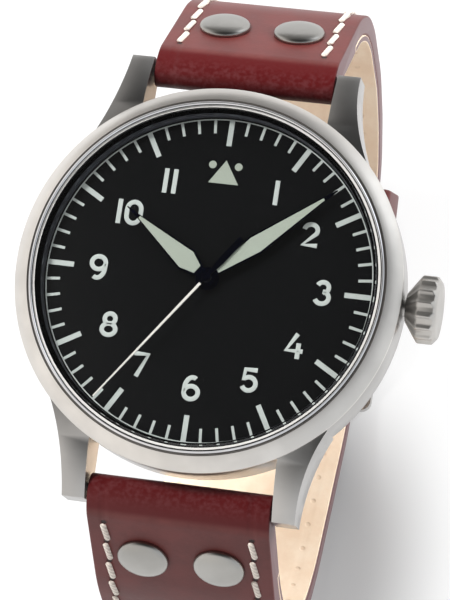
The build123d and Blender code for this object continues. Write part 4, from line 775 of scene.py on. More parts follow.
def drawn_out(shape: Shape, reach: Vector) -> None:
    """Draws a flat shape out to a closed body, and marks its two flat ends as cut faces."""
    out = bmesh.ops.extrude_face_region(shape, geom=shape.faces[:], use_keep_orig=True)
    moved = [item for item in out["geom"] if isinstance(item, bmesh.types.BMVert)]
    bmesh.ops.translate(shape, vec=reach, verts=moved)
    bmesh.ops.recalc_face_normals(shape, faces=shape.faces)
    along = reach.normalized()
    for face in shape.faces:
        if abs(face.normal.dot(along)) > FACING:
            face.material_index = CUT_FACE


def rims(shape: Shape) -> list[bmesh.types.BMEdge]:
    """Edges between a cut face and a smooth one."""
    return [
        edge
        for edge in shape.edges
        if len(edge.link_faces) == 2
        and edge.link_faces[0].material_index != edge.link_faces[1].material_index
    ]


def stood_on(place: Vector, outward: Vector) -> Matrix:
    """Matrix that turns a piece's height to a direction in the side plane, and sets it in its place."""
    turn = Matrix((SIDEWAYS, outward.cross(SIDEWAYS), outward)).transposed()
    return Matrix.Translation(place) @ turn.to_4x4()


def applied(obj: bpy.types.Object) -> bpy.types.Mesh:
    """The object's shape as it shows, as a mesh; the object goes."""
    bpy.context.view_layer.update()
    graph = bpy.context.evaluated_depsgraph_get()
    mesh = bpy.data.meshes.new_from_object(obj.evaluated_get(graph))
    bpy.data.objects.remove(obj)
    return mesh


def punched(shape: Shape, cutter: Shape) -> Shape:
    """A body with openings where the cutter is; both are used up."""
    bmesh.ops.triangulate(shape, faces=shape.faces[:], ngon_method="EAR_CLIP")
    body = linked("punched", as_mesh(shape, "punched"))
    tool = linked("cutter", as_mesh(cutter, "cutter"))
    change = body.modifiers.new("openings", "BOOLEAN")
    change.operation = "DIFFERENCE"
    change.solver = "EXACT"
    change.object = tool
    out = add_mesh(bmesh.new(), applied(body))
    bpy.data.objects.remove(tool)
    bmesh.ops.dissolve_limit(
        out, angle_limit=LEVEL, verts=out.verts, edges=out.edges, delimit={"MATERIAL"}
    )
    return out


def softened(node: str, width: float, clear: float = 0.0, material: int = -1) -> Shape:
    """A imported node's shape, welded, with its edges broken.

    Args:
        node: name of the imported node.
        width: width of the broken edges, in millimetres.
        clear: edges nearer than this to the hands' axis stay as they are, in millimetres.
        material: material index of the broken edges, -1 for that of their neighbours.

    Returns:
        The finished shape.
    """
    shape = bmesh.new()
    shape.from_mesh(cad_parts[node].data)
    bmesh.ops.remove_doubles(shape, verts=shape.verts, dist=WELD)
    bmesh.ops.dissolve_limit(
        shape, angle_limit=FLAT, verts=shape.verts, edges=shape.edges, delimit={"NORMAL"}
    )
    sharp = [
        edge
        for edge in shape.edges
        if len(edge.link_faces) == 2
        and edge.calc_face_angle() > CREASE
        and max(vertex.co.xy.length for vertex in edge.verts) >= clear * MM
        and edge.calc_length() > SHORTEST
    ]
    rounded(shape, sharp, width, EDGE_STEPS, material=material, clamp=True)
    return shape


@dataclass
class Case:
    """Case middle with its lugs, bezel and the ring inside it, the ring painted dark as the black dial's
    reflection.
    """

    bezel: Sequence[Pair] = (
        (17.9, 0.7), (21.0, 0.7), (21.0, 1.0), (19.4, 2.33), (19.36, 2.17), (19.22, 2.17),
        (19.14, 2.46), (18.95, 2.6), (18.75, 2.4), (18.75, 1.5), (17.9, 1.5),
    )
    bezel_steps: int = 320
    bezel_corner: float = 0.03
    # Radii of the groove whose steel is painted darker as shade.
    painted_dark_groove: Pair = (19.17, 19.39)
    groove_rise: float = 2.25
    wall: float = 17.95
    ring: Sequence[Pair] = ((17.85, 0.0), (18.12, 0.0), (18.12, 0.7), (17.85, 0.7))
    ring_steps: int = 256
    edge_width: float = 0.28
    edge_clear: float = 20.0
    bezel_finish: Sequence[str] = ("bezel_satin", "polished", "painted_dark_groove", "ring_painted_dark")

    def zone(self, face: bmesh.types.BMFace) -> str:
        """Which of the bezel's finishes a face has."""
        middle = face.calc_center_median() / MM
        out = middle.xy.length
        if out < self.wall:
            return "ring_painted_dark"
        if self.painted_dark_groove[0] < out < self.painted_dark_groove[1] and middle.z < DIAL_HEIGHT + self.groove_rise:
            return "painted_dark_groove"
        return "polished" if out < self.painted_dark_groove[1] else "bezel_satin"

    def build(self) -> None:
        """Makes and dresses the case's pieces."""
        bezel = turned(self.bezel, self.bezel_steps, self.bezel_corner)
        for face in bezel.faces:
            face.material_index = self.bezel_finish.index(self.zone(face))
        Piece("bezel_turned", "case", self.bezel_finish, "bezel_steel", ["bezel"], sharp=25.0).place(bezel)
        ring = turned(self.ring, self.ring_steps)
        Piece("inner_ring", "case", ["ring_painted_dark"], "polished_steel", ["rehaut_ring"]).place(ring)
        middle = softened("case_middle", self.edge_width, self.edge_clear, 1)
        finish = ["lug_satin", "broken_edge"]
        Piece("case_middle_finished", "case", finish, "case_steel", ["case_middle"], sharp=28.0).place(middle)


@dataclass
class Crystal:
    """Domed crystal in its seal."""

    edge_radius: float = 18.5
    shoulder: float = 0.25
    edge_rise: float = 2.4
    top_rise: float = 3.3
    under_rise: float = 2.25
    seat_rise: float = 1.5
    seat_radius: float = 17.9
    rings: int = 16
    steps: int = 192

    def arc(self, reach: float, low: float, high: float) -> list[Pair]:
        """Points of a dome from its middle to its edge."""
        radius = (reach**2 + (high - low) ** 2) / (2 * (high - low))
        outs = [reach * step / self.rings for step in range(self.rings + 1)]
        return [(out, high - radius + math.sqrt(radius**2 - out**2)) for out in outs]

    def build(self) -> None:
        """Makes the dome."""
        top = self.arc(self.edge_radius - self.shoulder, self.edge_rise + self.shoulder, self.top_rise)
        under = self.arc(self.seat_radius, self.seat_rise, self.under_rise)
        edge = [(self.edge_radius, self.edge_rise), (self.edge_radius, self.seat_rise)]
        dome = turned([*top, *edge, *under[::-1]], self.steps)
        Piece("crystal_dome", "case", ["crystal_clear"], "crystal_glass", ["crystal"], sharp=20.0).place(dome)


@dataclass
class Numerals:
    """Hour numerals of the dial, drawn with one even stroke."""

    stroke: float = 0.25
    stroke_resolution: int = 3
    rise: float = 0.035
    closed_within: float = 1e-6
    digits: Sequence[tuple[str, float, float]] = (
        ("1", -6.27, 10.29),
        ("1", -5.27, 10.29),
        ("1", -10.79, 6.39),
        ("0", -9.19, 6.39),
        ("9", -12.11, 0.01),
        ("8", -9.91, -6.04),
        ("7", -5.87, -9.94),
        ("6", 0.01, -11.85),
        ("5", 6.07, -10.25),
        ("4", 10.3, -6.06),
        ("3", 12.44, -0.03),
        ("2", 10.23, 6.08),
        ("1", 5.91, 10.24),
    )

    def arc(self, centre: Pair, radii: Pair, start: float, end: float, steps: int = 18) -> list[Pair]:
        """Points of an elliptical arc, angles in degrees from the right, counter-clockwise."""
        turns = [math.radians(start + (end - start) * step / steps) for step in range(steps + 1)]
        return [
            (centre[0] + radii[0] * math.cos(turn), centre[1] + radii[1] * math.sin(turn))
            for turn in turns
        ]

    def strokes(self, digit: str) -> list[list[Pair]]:
        """Centre lines of one digit, about its own middle, in millimetres."""
        arc = self.arc
        head, foot = arc((0, 0.33), (0.76, 0.84), 0, 180), arc((0, -0.33), (0.76, 0.84), 180, 360)
        bowl = arc((0, -0.48), (0.76, 0.7), 0, 360, 32)
        sweep = [(-0.76, -0.4), *arc((0.02, 0.0), (0.78, 1.16), 165, 62, 14)]
        belly = arc((-0.04, -0.4), (0.74, 0.72), 128, -155, 18)
        return {
            "0": [[*head, *foot, (0.76, 0.33)]],
            "1": [[(0, -1.35), (0, 1.35)]],
            "2": [[*arc((0, 0.5), (0.72, 0.66), 172, -28, 16), (-0.72, -1.12), (0.86, -1.12)]],
            "3": [
                arc((-0.03, 0.6), (0.62, 0.57), 158, -82, 16),
                arc((-0.03, -0.5), (0.74, 0.66), 88, -158, 18),
            ],
            "4": [[(0.2, 1.35), (-0.86, -0.5), (0.95, -0.5)], [(0.42, 0.35), (0.42, -1.35)]],
            "5": [[(0.72, 1.12), (-0.56, 1.12), (-0.66, 0.12), *belly]],
            "6": [bowl, sweep],
            "7": [[(-0.82, 1.12), (0.74, 1.12), (-0.3, -1.35)]],
            "8": [arc((0, 0.6), (0.58, 0.56), 0, 360, 28), arc((0, -0.54), (0.74, 0.62), 0, 360, 30)],
            "9": [[(-x, -y) for x, y in line] for line in (bowl, sweep)],
        }[digit]

    def build(self) -> None:
        """Draws the strokes as raised paint on the dial."""
        curve = bpy.data.curves.new("numeral_strokes", "CURVE")
        curve.dimensions = "3D"
        curve.bevel_depth = self.stroke * MM
        curve.bevel_resolution = self.stroke_resolution
        curve.use_fill_caps = True
        for digit, right, up in self.digits:
            for line in self.strokes(digit):
                closed = math.dist(line[0], line[-1]) < self.closed_within
                points = line[:-1] if closed else line
                spline = curve.splines.new("POLY")
                spline.points.add(len(points) - 1)
                for point, (x, y) in zip(spline.points, points):
                    point.co = (*mm(right + x, up + y), 0.0, 1.0)
                spline.use_cyclic_u = closed
        shape = add_mesh(bmesh.new(), applied(linked("numeral_strokes", curve)))
        bmesh.ops.remove_doubles(shape, verts=shape.verts, dist=MERGE)
        bmesh.ops.scale(shape, vec=(1, 1, self.rise / self.stroke), verts=shape.verts)
        bmesh.ops.translate(shape, vec=mm(0, 0, DIAL_HEIGHT), verts=shape.verts)
        Piece("numerals", "case", ["marking"], "marking", sharp=60.0).place(shape)


@dataclass
class Crown:
    """Onion crown with wide flutes between thin ridges, which run up its cone."""

    axis_height: float = 47.2
    profile: Sequence[Pair] = (
        (23.7, 0.0), (23.7, 1.32), (21.2, 1.32), (21.2, 1.62), (21.45, 1.95), (21.8, 2.45),
        (22.15, 2.95), (22.45, 3.35), (22.65, 3.62), (22.8, 3.7), (24.12, 3.7), (24.17, 3.67),
        (24.24, 3.6), (24.33, 3.5), (24.42, 3.4), (24.7, 3.08), (24.75, 2.98), (24.78, 2.8),
        (24.78, 0.0),
    )
    drum_start: float = 22.7
    drum_radius: float = 3.7
    flutes: int = 16
    steps_per_flute: int = 14
    flute_depth: float = 0.32
    flute_power: int = 6
    plain_radius: float = 1.7
    cone_start: float = 1.6
    cone_fade: float = 1.4
    cone_depth: float = 0.34
    cone_power: int = 3

    def sunk(self, x: float, radius: float, turn: float) -> float:
        """Distance from the crown's axis once the flutes are in.

        Args:
            x: way out along the crown, in millimetres.
            radius: distance before.
            turn: angle round the crown, in radians.

        Returns:
            The new distance.
        """
        ridge = abs(math.cos(turn * self.flutes / 2))
        if x < self.drum_start:
            share = min(1.0, (radius - self.cone_start) / self.cone_fade)
            return radius - self.cone_depth * share * (1 - ridge**self.cone_power)
        return min(radius, self.drum_radius - self.flute_depth * (1 - ridge**self.flute_power))

    def build(self) -> None:
        """Spins the crown, then sinks its flutes."""
        shape = spun(self.profile, (1.0, 0.0, 0.0), self.flutes * self.steps_per_flute)
        for vertex in shape.verts:
            x, radius = vertex.co.x / MM, vertex.co.yz.length / MM
            if radius >= self.plain_radius:
                vertex.co.yz *= self.sunk(x, radius, math.atan2(vertex.co.y, vertex.co.z)) / radius
        bmesh.ops.translate(shape, vec=mm(0, 0, self.axis_height), verts=shape.verts)
        finish = ["crown_satin"]
        Piece("crown_fluted", "crown_and_stem", finish, "case_steel", ["crown"], sharp=40.0).place(shape)


class Route:
    """Outer side line of a strap half with its bends rounded, measured from its first corner."""

    def __init__(
        self, side: int, corners: Sequence[Pair], radii: Sequence[float], steps: int = 8
    ) -> None:
        """Rounds the corners.

        Args:
            side: 1 for the 12 o'clock half, -1 for the 6 o'clock half.
            corners: corners of the line, in millimetres.
            radii: bend radius at each corner but the first and last.
            steps: steps of each bend.
        """
        self.side = side
        places = [Vector(corner) for corner in corners]
        self.points = [places[0]]
        for before, corner, after, radius in zip(places, places[1:], places[2:], radii):
            back, ahead = (before - corner).normalized(), (after - corner).normalized()
            turn = math.pi - back.angle(ahead)
            reach = radius * math.tan(turn / 2)
            centre = corner + (back + ahead).normalized() * (radius / math.cos(turn / 2))
            start, end = corner + back * reach - centre, corner + ahead * reach - centre
            for step in range(steps + 1):
                share = step / steps
                mixed = start * math.sin((1 - share) * turn) + end * math.sin(share * turn)
                self.points.append(centre + mixed / math.sin(turn))
        self.points.append(places[-1])
        self.ways = [0.0]
        for first, second in zip(self.points, self.points[1:]):
            self.ways.append(self.ways[-1] + (second - first).length)

    def at(self, way: float) -> tuple[Vector, Vector, Vector]:
        """Place on the line.

        Args:
            way: distance along it, in millimetres.

        Returns:
            Point in metres, direction along the line and direction outwards.
        """
        index = max(i for i, reached in enumerate(self.ways[:-1]) if reached <= way)
        along = (self.points[index + 1] - self.points[index]).normalized()
        outward = Vector((-along.y, along.x)) * self.side
        flat = self.points[index] + along * (way - self.ways[index])
        return (
            Vector((0.0, flat.x * MM, flat.y * MM)),
            Vector((0.0, along.x, along.y)),
            Vector((0.0, outward.x, outward.y)),
        )

    def measure(self, y: float, z: float) -> float:
        """Distance along the line of its point nearest to a place, in millimetres."""
        spot, best, found = Vector((y, z)), math.inf, 0.0
        for index, (first, second) in enumerate(zip(self.points, self.points[1:])):
            run = second - first
            if not run.length:
                continue
            share = min(max((spot - first).dot(run) / run.length_squared, 0.0), 1.0)
            gap = (spot - first - run * share).length
            if gap < best:
                best, found = gap, self.ways[index] + share * run.length
        return found


@dataclass
class BandSection:
    """Side outline of a strap layer: corners with their bend radii, in millimetres."""

    corners: Sequence[Pair]
    radii: Sequence[float]
    half_width: float = 10.0
    arc_steps: int = 8

    def outline(self) -> Shape:
        """The flat section with its bends rounded."""
        shape = bmesh.new()
        places = [Vector(mm(0.0, *corner)) for corner in self.corners]
        vertices = [shape.verts.new(place) for place in places]
        shape.faces.new(vertices)
        before, after = places[-1:] + places[:-1], places[1:] + places[:1]
        for vertex, radius, back, place, ahead in zip(vertices, self.radii, before, places, after):
            if radius:
                turn = math.pi - (back - place).angle(ahead - place)
                rounded(shape, [vertex], radius * math.tan(turn / 2), self.arc_steps, "VERTICES")
        return shape

    def body(self, rounding: float, trims: Sequence[tuple[Vector, Vector]], cutter: Shape) -> Shape:
        """The section drawn out to the strap's width, trimmed and punched, with softened edges.

        Args:
            rounding: radius of the long edges.
            trims: planes, each a point and a direction, beyond which the layer is cut off.
            cutter: tool that opens slots and holes.

        Returns:
            The closed layer, with its cut edges marked.
        """
        shape = self.outline()
        bmesh.ops.translate(shape, vec=mm(-self.half_width, 0, 0), verts=shape.verts)
        drawn_out(shape, SIDEWAYS * (2 * self.half_width * MM))
        for place, direction in trims:
            cut = bmesh.ops.bisect_plane(
                shape,
                geom=shape.verts[:] + shape.edges[:] + shape.faces[:],
                dist=MERGE,
                plane_co=place,
                plane_no=direction,
                clear_outer=True,
            )
            rim = [item for item in cut["geom_cut"] if isinstance(item, bmesh.types.BMEdge)]
            for face in bmesh.ops.holes_fill(shape, edges=rim)["faces"]:
                face.material_index = CUT_FACE
        shape = punched(shape, cutter)
        rounded(shape, rims(shape), rounding, RIM_STEPS, material=0)
        return shape


@dataclass
class StrapHalf:
    """One half of the strap: leather, lining, thread and rivets."""

    side: int
    name: str
    corners: Sequence[Pair]
    radii: Sequence[float]
    leather_end: Sequence[Triple] = ()
    lining_end: Sequence[Pair] = ()
    openings: Sequence[tuple[Triple, Triple]] = ()
    tail_radius: float = 0.0
    tail_inset: float = 0.02
    tail_turns: Sequence[float] = (0.2, 11.25, 33.75, 56.25, 78.75)
    thickness: float = 3.0
    leather: float = 2.2
    leather_rounding: float = 0.2
    lining_rounding: float = 0.12
    bar: Pair = (23.1, 46.2)
    bar_play: float = 0.01
    fold: float = 11.2
    glue: float = 0.03
    seam_end: float = 6.5
    stitch: Triple = (0.35, 1.36, 0.3)
    stitch_slant: float = 8.0
    stitch_faces: tuple[int, int] = (10, 9)
    hole_radius: float = 1.0
    hole_steps: int = 32
    rivet_way: float = 7.8
    rivet_reach: float = 4.2
    rivet_steps: int = 64
    rivet: Sequence[Pair] = (
        (0.0, -3.35), (1.8, -3.35), (1.9, -3.25), (1.9, -3.0), (0.9, -3.0), (0.9, 0.0),
        (2.74, 0.0), (2.82, 0.1), (2.82, 0.3), (2.76, 0.46), (2.62, 0.6), (2.3, 0.75), (1.6, 0.9),
        (0.8, 0.98), (0.0, 1.0),
    )

    def route(self) -> Route:
        """The half's outer line, rounded."""
        return Route(self.side, self.corners, self.radii)

    def offset(self, depth: float) -> list[Pair]:
        """Corners of a line this deep inside the outer one, with mitred corners."""
        shift = self.side * depth
        normals = []
        for start, end in zip(self.corners, self.corners[1:]):
            length = math.dist(start, end)
            normals.append(((end[1] - start[1]) / length, (start[0] - end[0]) / length))
        moved = []
        for (y, z), before, after in zip(self.corners, normals[:1] + normals, normals + normals[-1:]):
            share = shift / (1 + before[0] * after[0] + before[1] * after[1])
            moved.append((y + share * (before[0] + after[0]), z + share * (before[1] + after[1])))
        return moved

    def station(self, distance: float, depth: float) -> Pair:
        """Point this far down the stretch behind the first bend, and this deep inside it."""
        start, end = self.corners[1:3]
        length = math.dist(start, end)
        unit = ((end[0] - start[0]) / length, (end[1] - start[1]) / length)
        return (
            start[0] + distance * unit[0] + depth * self.side * unit[1],
            start[1] + distance * unit[1] - depth * self.side * unit[0],
        )

    def leather_section(self) -> BandSection:
        """Outline of the leather: outer line, end, inner line, fold and nose round the bar."""
        inner, full = self.offset(self.leather), self.offset(self.thickness)
        nose = self.side * (self.bar[0] - self.thickness / 2)
        low, high = self.bar[1] - self.thickness / 2, self.bar[1] + self.thickness / 2
        around = self.thickness / 2 - self.bar_play
        end = self.leather_end or ((*self.corners[-1], 0.0), (*inner[-1], 0.0))
        corners = [(nose, high), *self.corners[1:-1], *[(y, z) for y, z, _ in end], *inner[-2:1:-1]]
        radii = [around, *self.radii, *[radius for _, _, radius in end]]
        radii += [radius - self.leather for radius in self.radii[:0:-1]]
        corners += [self.station(self.fold, self.leather), self.station(self.fold, self.thickness), full[1]]
        radii += [0.0, 0.0, self.radii[0] - self.thickness]
        return BandSection([*corners, (nose, low)], [*radii, around])

    def lining_section(self) -> BandSection:
        """Outline of the lining, from the end of the fold."""
        depth = self.leather + self.glue
        outer, inner = self.offset(depth), self.offset(self.thickness)
        end = self.lining_end or (outer[-1], inner[-1])
        corners = [self.station(self.fold + self.glue, depth), *outer[2:-1], *end, *inner[-2:1:-1]]
        corners.append(self.station(self.fold + self.glue, self.thickness))
        radii = [0.0, *[radius - depth for radius in self.radii[1:]], 0.0, 0.0]
        radii += [radius - self.thickness for radius in self.radii[:0:-1]] + [0.0]
        return BandSection(corners, radii)

    def trims(self) -> list[tuple[Vector, Vector]]:
        """Planes that round the tail's corners off."""
        if not self.tail_radius:
            return []
        end = Vector((0.0, *self.corners[-1]))
        ahead = (end - Vector((0.0, *self.corners[-2]))).normalized()
        planes = []
        for side in (-1, 1):
            across = SIDEWAYS * side
            middle = end - ahead * self.tail_radius + across * (BandSection.half_width - self.tail_radius)
            for turn in map(math.radians, self.tail_turns):
                out = across * math.sin(turn) + ahead * math.cos(turn)
                planes.append(((middle + out * (self.tail_radius - self.tail_inset)) * MM, out))
        return planes

    def cutter(self) -> Shape:
        """Slot for the tongue and round holes, as one tool."""
        shape = bmesh.new()
        for middle, size in self.openings:
            place = Matrix.Translation(mm(*middle))
            if size[1]:
                scale = Matrix.Diagonal((*mm(*size), 1.0))
                bmesh.ops.create_cube(shape, size=1.0, matrix=place @ scale)
            else:
                bmesh.ops.create_cone(
                    shape,
                    cap_ends=True,
                    segments=self.hole_steps,
                    radius1=self.hole_radius * MM,
                    radius2=self.hole_radius * MM,
                    depth=size[2] * MM,
                    matrix=place @ Matrix.Rotation(math.radians(size[0]), 4, "X"),
                )
        return shape

    def measured(self, shape: Shape) -> Shape:
        """Writes the way along the strap on every point, for the seam's holes."""
        route = self.route()
        along = shape.verts.layers.float.new("along")
        for vertex in shape.verts:
            vertex[along] = route.measure(vertex.co.y / MM, vertex.co.z / MM) * MM
        return shape

    def stitches(self) -> Shape:
        """Both rows of stitches on the outside; inside the thread lies sunk in the lining."""
        shape = bmesh.new()
        route = self.route()
        radius, length, height = self.stitch
        around, down = self.stitch_faces
        slant = math.radians(self.stitch_slant)
        count = int((route.ways[-1] - self.seam_end - SEAM_START) / SEAM_PITCH)
        for step in range(count):
            point, along, outward = route.at(SEAM_START + (step + 0.5) * SEAM_PITCH)
            lie = along * math.cos(slant) + SIDEWAYS * math.sin(slant)
            wide = lie.cross(outward)
            for reach in (-SEAM_REACH, SEAM_REACH):
                made = bmesh.ops.create_uvsphere(shape, u_segments=around, v_segments=down, radius=1)
                for vertex in made["verts"]:
                    x, y, z = vertex.co
                    way = z * radius + math.copysign(length - radius, z)
                    flat = wide * (x * radius) + lie * way + outward * (y * height)
                    vertex.co = point + SIDEWAYS * (reach * MM) + flat * MM
        return shape

    def rivet_heads(self, shape: Shape) -> None:
        """Adds the half's two rivets."""
        start, end = Vector((0.0, *self.corners[1])), Vector((0.0, *self.corners[2]))
        along = (end - start).normalized()
        outward = Vector((0.0, -along.z, along.y)) * self.side
        for reach in (-self.rivet_reach, self.rivet_reach):
            rivet = spun(self.rivet, (0.0, 0.0, 1.0), self.rivet_steps)
            middle = start + along * self.rivet_way + SIDEWAYS * reach
            bmesh.ops.transform(rivet, matrix=stood_on(middle * MM, outward), verts=rivet.verts)
            add_mesh(shape, as_mesh(rivet, "rivet"))

    def build(self) -> None:
        """Makes and dresses the half's leather, lining and thread."""
        name = f"strap_{self.name}"
        for section, rounding, piece, node, finish, slot in (
            (self.leather_section(), self.leather_rounding, "hide", "leather", "hide", "burgundy_leather"),
            (self.lining_section(), self.lining_rounding, "inside", "lining", "lining", "tan_lining"),
        ):
            shape = self.measured(section.body(rounding, self.trims(), self.cutter()))
            Piece(f"{name}_{piece}", "case", [finish, "cut_edge"], slot, [f"{name}_{node}"]).place(shape)
        Piece(f"stitches_{self.name}", "case", ["thread"]).place(self.stitches())


@dataclass
class Keeper:
    """Leather loop round the two layers of the strap."""

    node: str
    body: str
    middle: Pair
    direction: Pair
    inner: Pair = (10.6, 3.25)
    outer: Pair = (11.9, 4.55)
    width: float = 5.0
    corner: float = 1.2
    inner_corner: float = 0.25
    corner_steps: int = 6
    rounding: float = 0.3

    def ring(self, shape: Shape, half: Pair, corner: float) -> None:
        """Adds one rounded rectangle of edges."""
        signs = ((1, 1), (-1, 1), (-1, -1), (1, -1))
        corners = [shape.verts.new(mm(x * half[0], z * half[1], 0.0)) for x, z in signs]
        shape.faces.new(corners)
        rounded(shape, corners, corner, self.corner_steps, "VERTICES")
        bmesh.ops.delete(shape, geom=shape.faces[:], context="FACES_ONLY")

    def build(self) -> None:
        """Makes the loop with rounded rims and sets it on the strap."""
        shape = bmesh.new()
        self.ring(shape, self.outer, self.corner)
        self.ring(shape, self.inner, self.inner_corner)
        bmesh.ops.bridge_loops(shape, edges=shape.edges[:])
        drawn_out(shape, Vector(mm(0, 0, self.width)))
        rounded(shape, rims(shape), self.rounding, RIM_STEPS, material=0, clamp=True)
        bmesh.ops.translate(shape, vec=mm(0, 0, -self.width / 2), verts=shape.verts)
        place = stood_on(Vector(mm(0.0, *self.middle)), Vector((0.0, *self.direction)))
        bmesh.ops.transform(shape, matrix=place, verts=shape.verts)
        finish = ["hide", "cut_edge"]
        Piece(f"{self.node}_loop", self.body, finish, "burgundy_leather", [self.node]).place(shape)


@dataclass
class Buckle:
    """Buckle frame and tongue with softened edges."""

    edge: float = 0.28
    tongue_edge: float = 0.16

    def build(self) -> None:
        """Makes both pieces."""
        for node, body, width in (
            ("buckle_frame", "buckle", self.edge),
            ("buckle_tongue", "tongue", self.tongue_edge),
        ):
            shape = softened(node, width)
            Piece(f"{node}_finished", body, ["buckle_satin"], "case_steel", [node], sharp=30.0).place(shape)


@dataclass
class Studio:
    """White sweep, soft lamps and the camera at the photograph's angle."""

    lens: float = 130.5
    sensor: float = 24.0
    clip: Pair = (0.01, 20.0)
    eye: Triple = (0.06906, -0.06827, 0.3840)
    right: Triple = (0.9747, 0.1499, -0.1655)
    up: Triple = (-0.1127, 0.9701, 0.2151)
    forward: Triple = (-0.1928, 0.1910, -0.9625)
    lamps: Sequence[tuple[str, Triple, float, float]] = (
        ("key", (-0.36, 0.3, 0.68), 0.2, 5.8),
        ("side", (0.5, 0.36, 0.2), 0.3, 3.2),
        ("back", (-0.1, 0.72, 0.42), 0.3, 2.4),
    )
    lamp_aim: Triple = (0.0, 0.0, 0.03)
    dark_side: Triple = (0.12, 0.35, 1.0)
    dark_limits: Pair = (0.42, 1.0)
    dark_power: Pair = (1.05, 0.05)
    window: Triple = (0.679, 0.695, 0.249)
    window_limits: Pair = (0.93, 0.995)
    window_power: Pair = (0.0, 1.1)
    back: Triple = (-0.3, 0.954, 0.0)
    back_limits: Pair = (0.7, 0.96)
    back_power: Pair = (1.0, 0.3)
    lean_limits: Pair = (-0.8, 0.8)
    lean_power: Pair = (1.08, 0.84)
    tint_limits: Pair = (-0.4, 0.7)
    warm: Color = (1.0, 0.975, 0.945, 1.0)
    cool: Color = (0.93, 0.965, 1.0, 1.0)
    floor_size: float = 3.0
    floor_color: Color = (0.64, 0.645, 0.65, 1.0)
    floor_roughness: float = 0.95
    floor_glow: float = 1.2
    floor_share: float = 0.7
    # Oval near the watch where the floor's glow is held back: painted shade round the real shadow.
    painted_shade_middle: Pair = (4.0, -24.0)
    painted_shade_limits: Pair = (9.0, 23.0)
    painted_shade_stretch: float = 1.35

    def camera(self) -> None:
        """Sets up the camera."""
        data = bpy.data.cameras.new("camera")
        data.sensor_fit = "VERTICAL"
        data.sensor_height = self.sensor
        data.lens = self.lens
        data.clip_start, data.clip_end = self.clip
        camera = linked("camera", data)
        turn = Matrix((self.right, self.up, -Vector(self.forward))).transposed()
        camera.matrix_world = Matrix.Translation(self.eye) @ turn.to_4x4()
        bpy.context.scene.camera = camera

    def lamp(self, name: str, place: Triple, size: float, power: float) -> None:
        """A square soft lamp that faces the watch and isn't mirrored in its metal."""
        data = bpy.data.lights.new(name, "AREA")
        data.size = size
        data.energy = power
        lamp = linked(name, data)
        lamp.visible_glossy = False
        lamp.visible_transmission = False
        turn = (Vector(self.lamp_aim) - Vector(place)).to_track_quat("-Z", "Y")
        lamp.matrix_world = Matrix.Translation(place) @ turn.to_matrix().to_4x4()

    def world(self) -> None:
        """Light tent: bright all round the horizon, dark overhead and towards 12 o'clock."""
        world = bpy.data.worlds.new("tent")
        bpy.context.scene.world = world
        world.use_nodes = True
        tree = world.node_tree
        tree.nodes.clear()
        place = tree.nodes.new("ShaderNodeTexCoord").outputs["Generated"]
        powers = []
        for direction, limits, power in (
            (self.dark_side, self.dark_limits, self.dark_power),
            (Vector(self.back).normalized(), self.back_limits, self.back_power),
            (Vector(self.window).normalized(), self.window_limits, self.window_power),
        ):
            turn = tree.nodes.new("ShaderNodeVectorMath")
            turn.operation = "DOT_PRODUCT"
            turn.inputs[1].default_value = direction
            tree.links.new(place, turn.inputs[0])
            powers.append(range_node(tree, turn.outputs["Value"], limits, power))
        split = tree.nodes.new("ShaderNodeSeparateXYZ")
        tree.links.new(place, split.inputs[0])
        lean = range_node(tree, split.outputs[0], self.lean_limits, self.lean_power, False)
        tint = range_node(tree, split.outputs[0], self.tint_limits, smooth=False)
        dark, back, window = powers
        tent = tree.nodes.new("ShaderNodeBackground")
        white = tree.nodes.new("ShaderNodeBackground")
        feed(tree, mix_node(tree, tint, self.warm, self.cool), tent.inputs["Color"])
        strength = math_node(tree, "MULTIPLY", math_node(tree, "MULTIPLY", dark, lean), back)
        feed(tree, math_node(tree, "ADD", strength, window), tent.inputs["Strength"])
        feed(tree, WHITE, white.inputs["Color"])
        camera_ray = tree.nodes.new("ShaderNodeLightPath").outputs["Is Camera Ray"]
        blend = tree.nodes.new("ShaderNodeMixShader")
        for source, target in zip((camera_ray, tent.outputs[0], white.outputs[0]), blend.inputs):
            tree.links.new(source, target)
        tree.links.new(blend.outputs[0], tree.nodes.new("ShaderNodeOutputWorld").inputs["Surface"])

    def floor(self) -> None:
        """Pale floor that keeps the watch's shadow; a glow seen by camera and reflection rays whitens it away
        from an oval round that shadow, so the oval stays darker as painted shade.
        """
        grid = bmesh.new()
        bmesh.ops.create_grid(grid, x_segments=1, y_segments=1, size=self.floor_size)
        floor = linked("floor", as_mesh(grid, "floor"))
        shader = Shader("floor_white")
        shader.dress(base_color=self.floor_color, roughness=self.floor_roughness, specular=0.0)
        glow = shader.tree.nodes.new("ShaderNodeEmission")
        glow.inputs["Strength"].default_value = self.floor_glow
        path = shader.tree.nodes.new("ShaderNodeLightPath").outputs
        seen = shader.math("MAXIMUM", path["Is Camera Ray"], path["Is Glossy Ray"])
        seen = shader.math("MAXIMUM", seen, path["Is Transmission Ray"])
        # The glow rises with distance from the oval's middle and is held back inside it, which paints shade
        # on the floor round the watch's real shadow.
        x, y, _ = shader.parts()
        x = shader.math("SUBTRACT", x, self.painted_shade_middle[0] * MM)
        y = shader.math("DIVIDE", shader.math("SUBTRACT", y, self.painted_shade_middle[1] * MM), self.painted_shade_stretch)
        glow_outside_painted_shade = shader.ramp(shader.away(x, y), mm(*self.painted_shade_limits))
        share = shader.math("MULTIPLY", shader.math("MULTIPLY", seen, glow_outside_painted_shade), self.floor_share)
        shader.give_way(share, glow)
        floor.data.materials.append(shader.material)

    def build(self) -> None:
        """Sets the whole studio."""
        self.camera()
        self.world()
        self.floor()
        for lamp in self.lamps:
            self.lamp(*lamp)
        bpy.context.scene.view_settings.view_transform = "Standard"


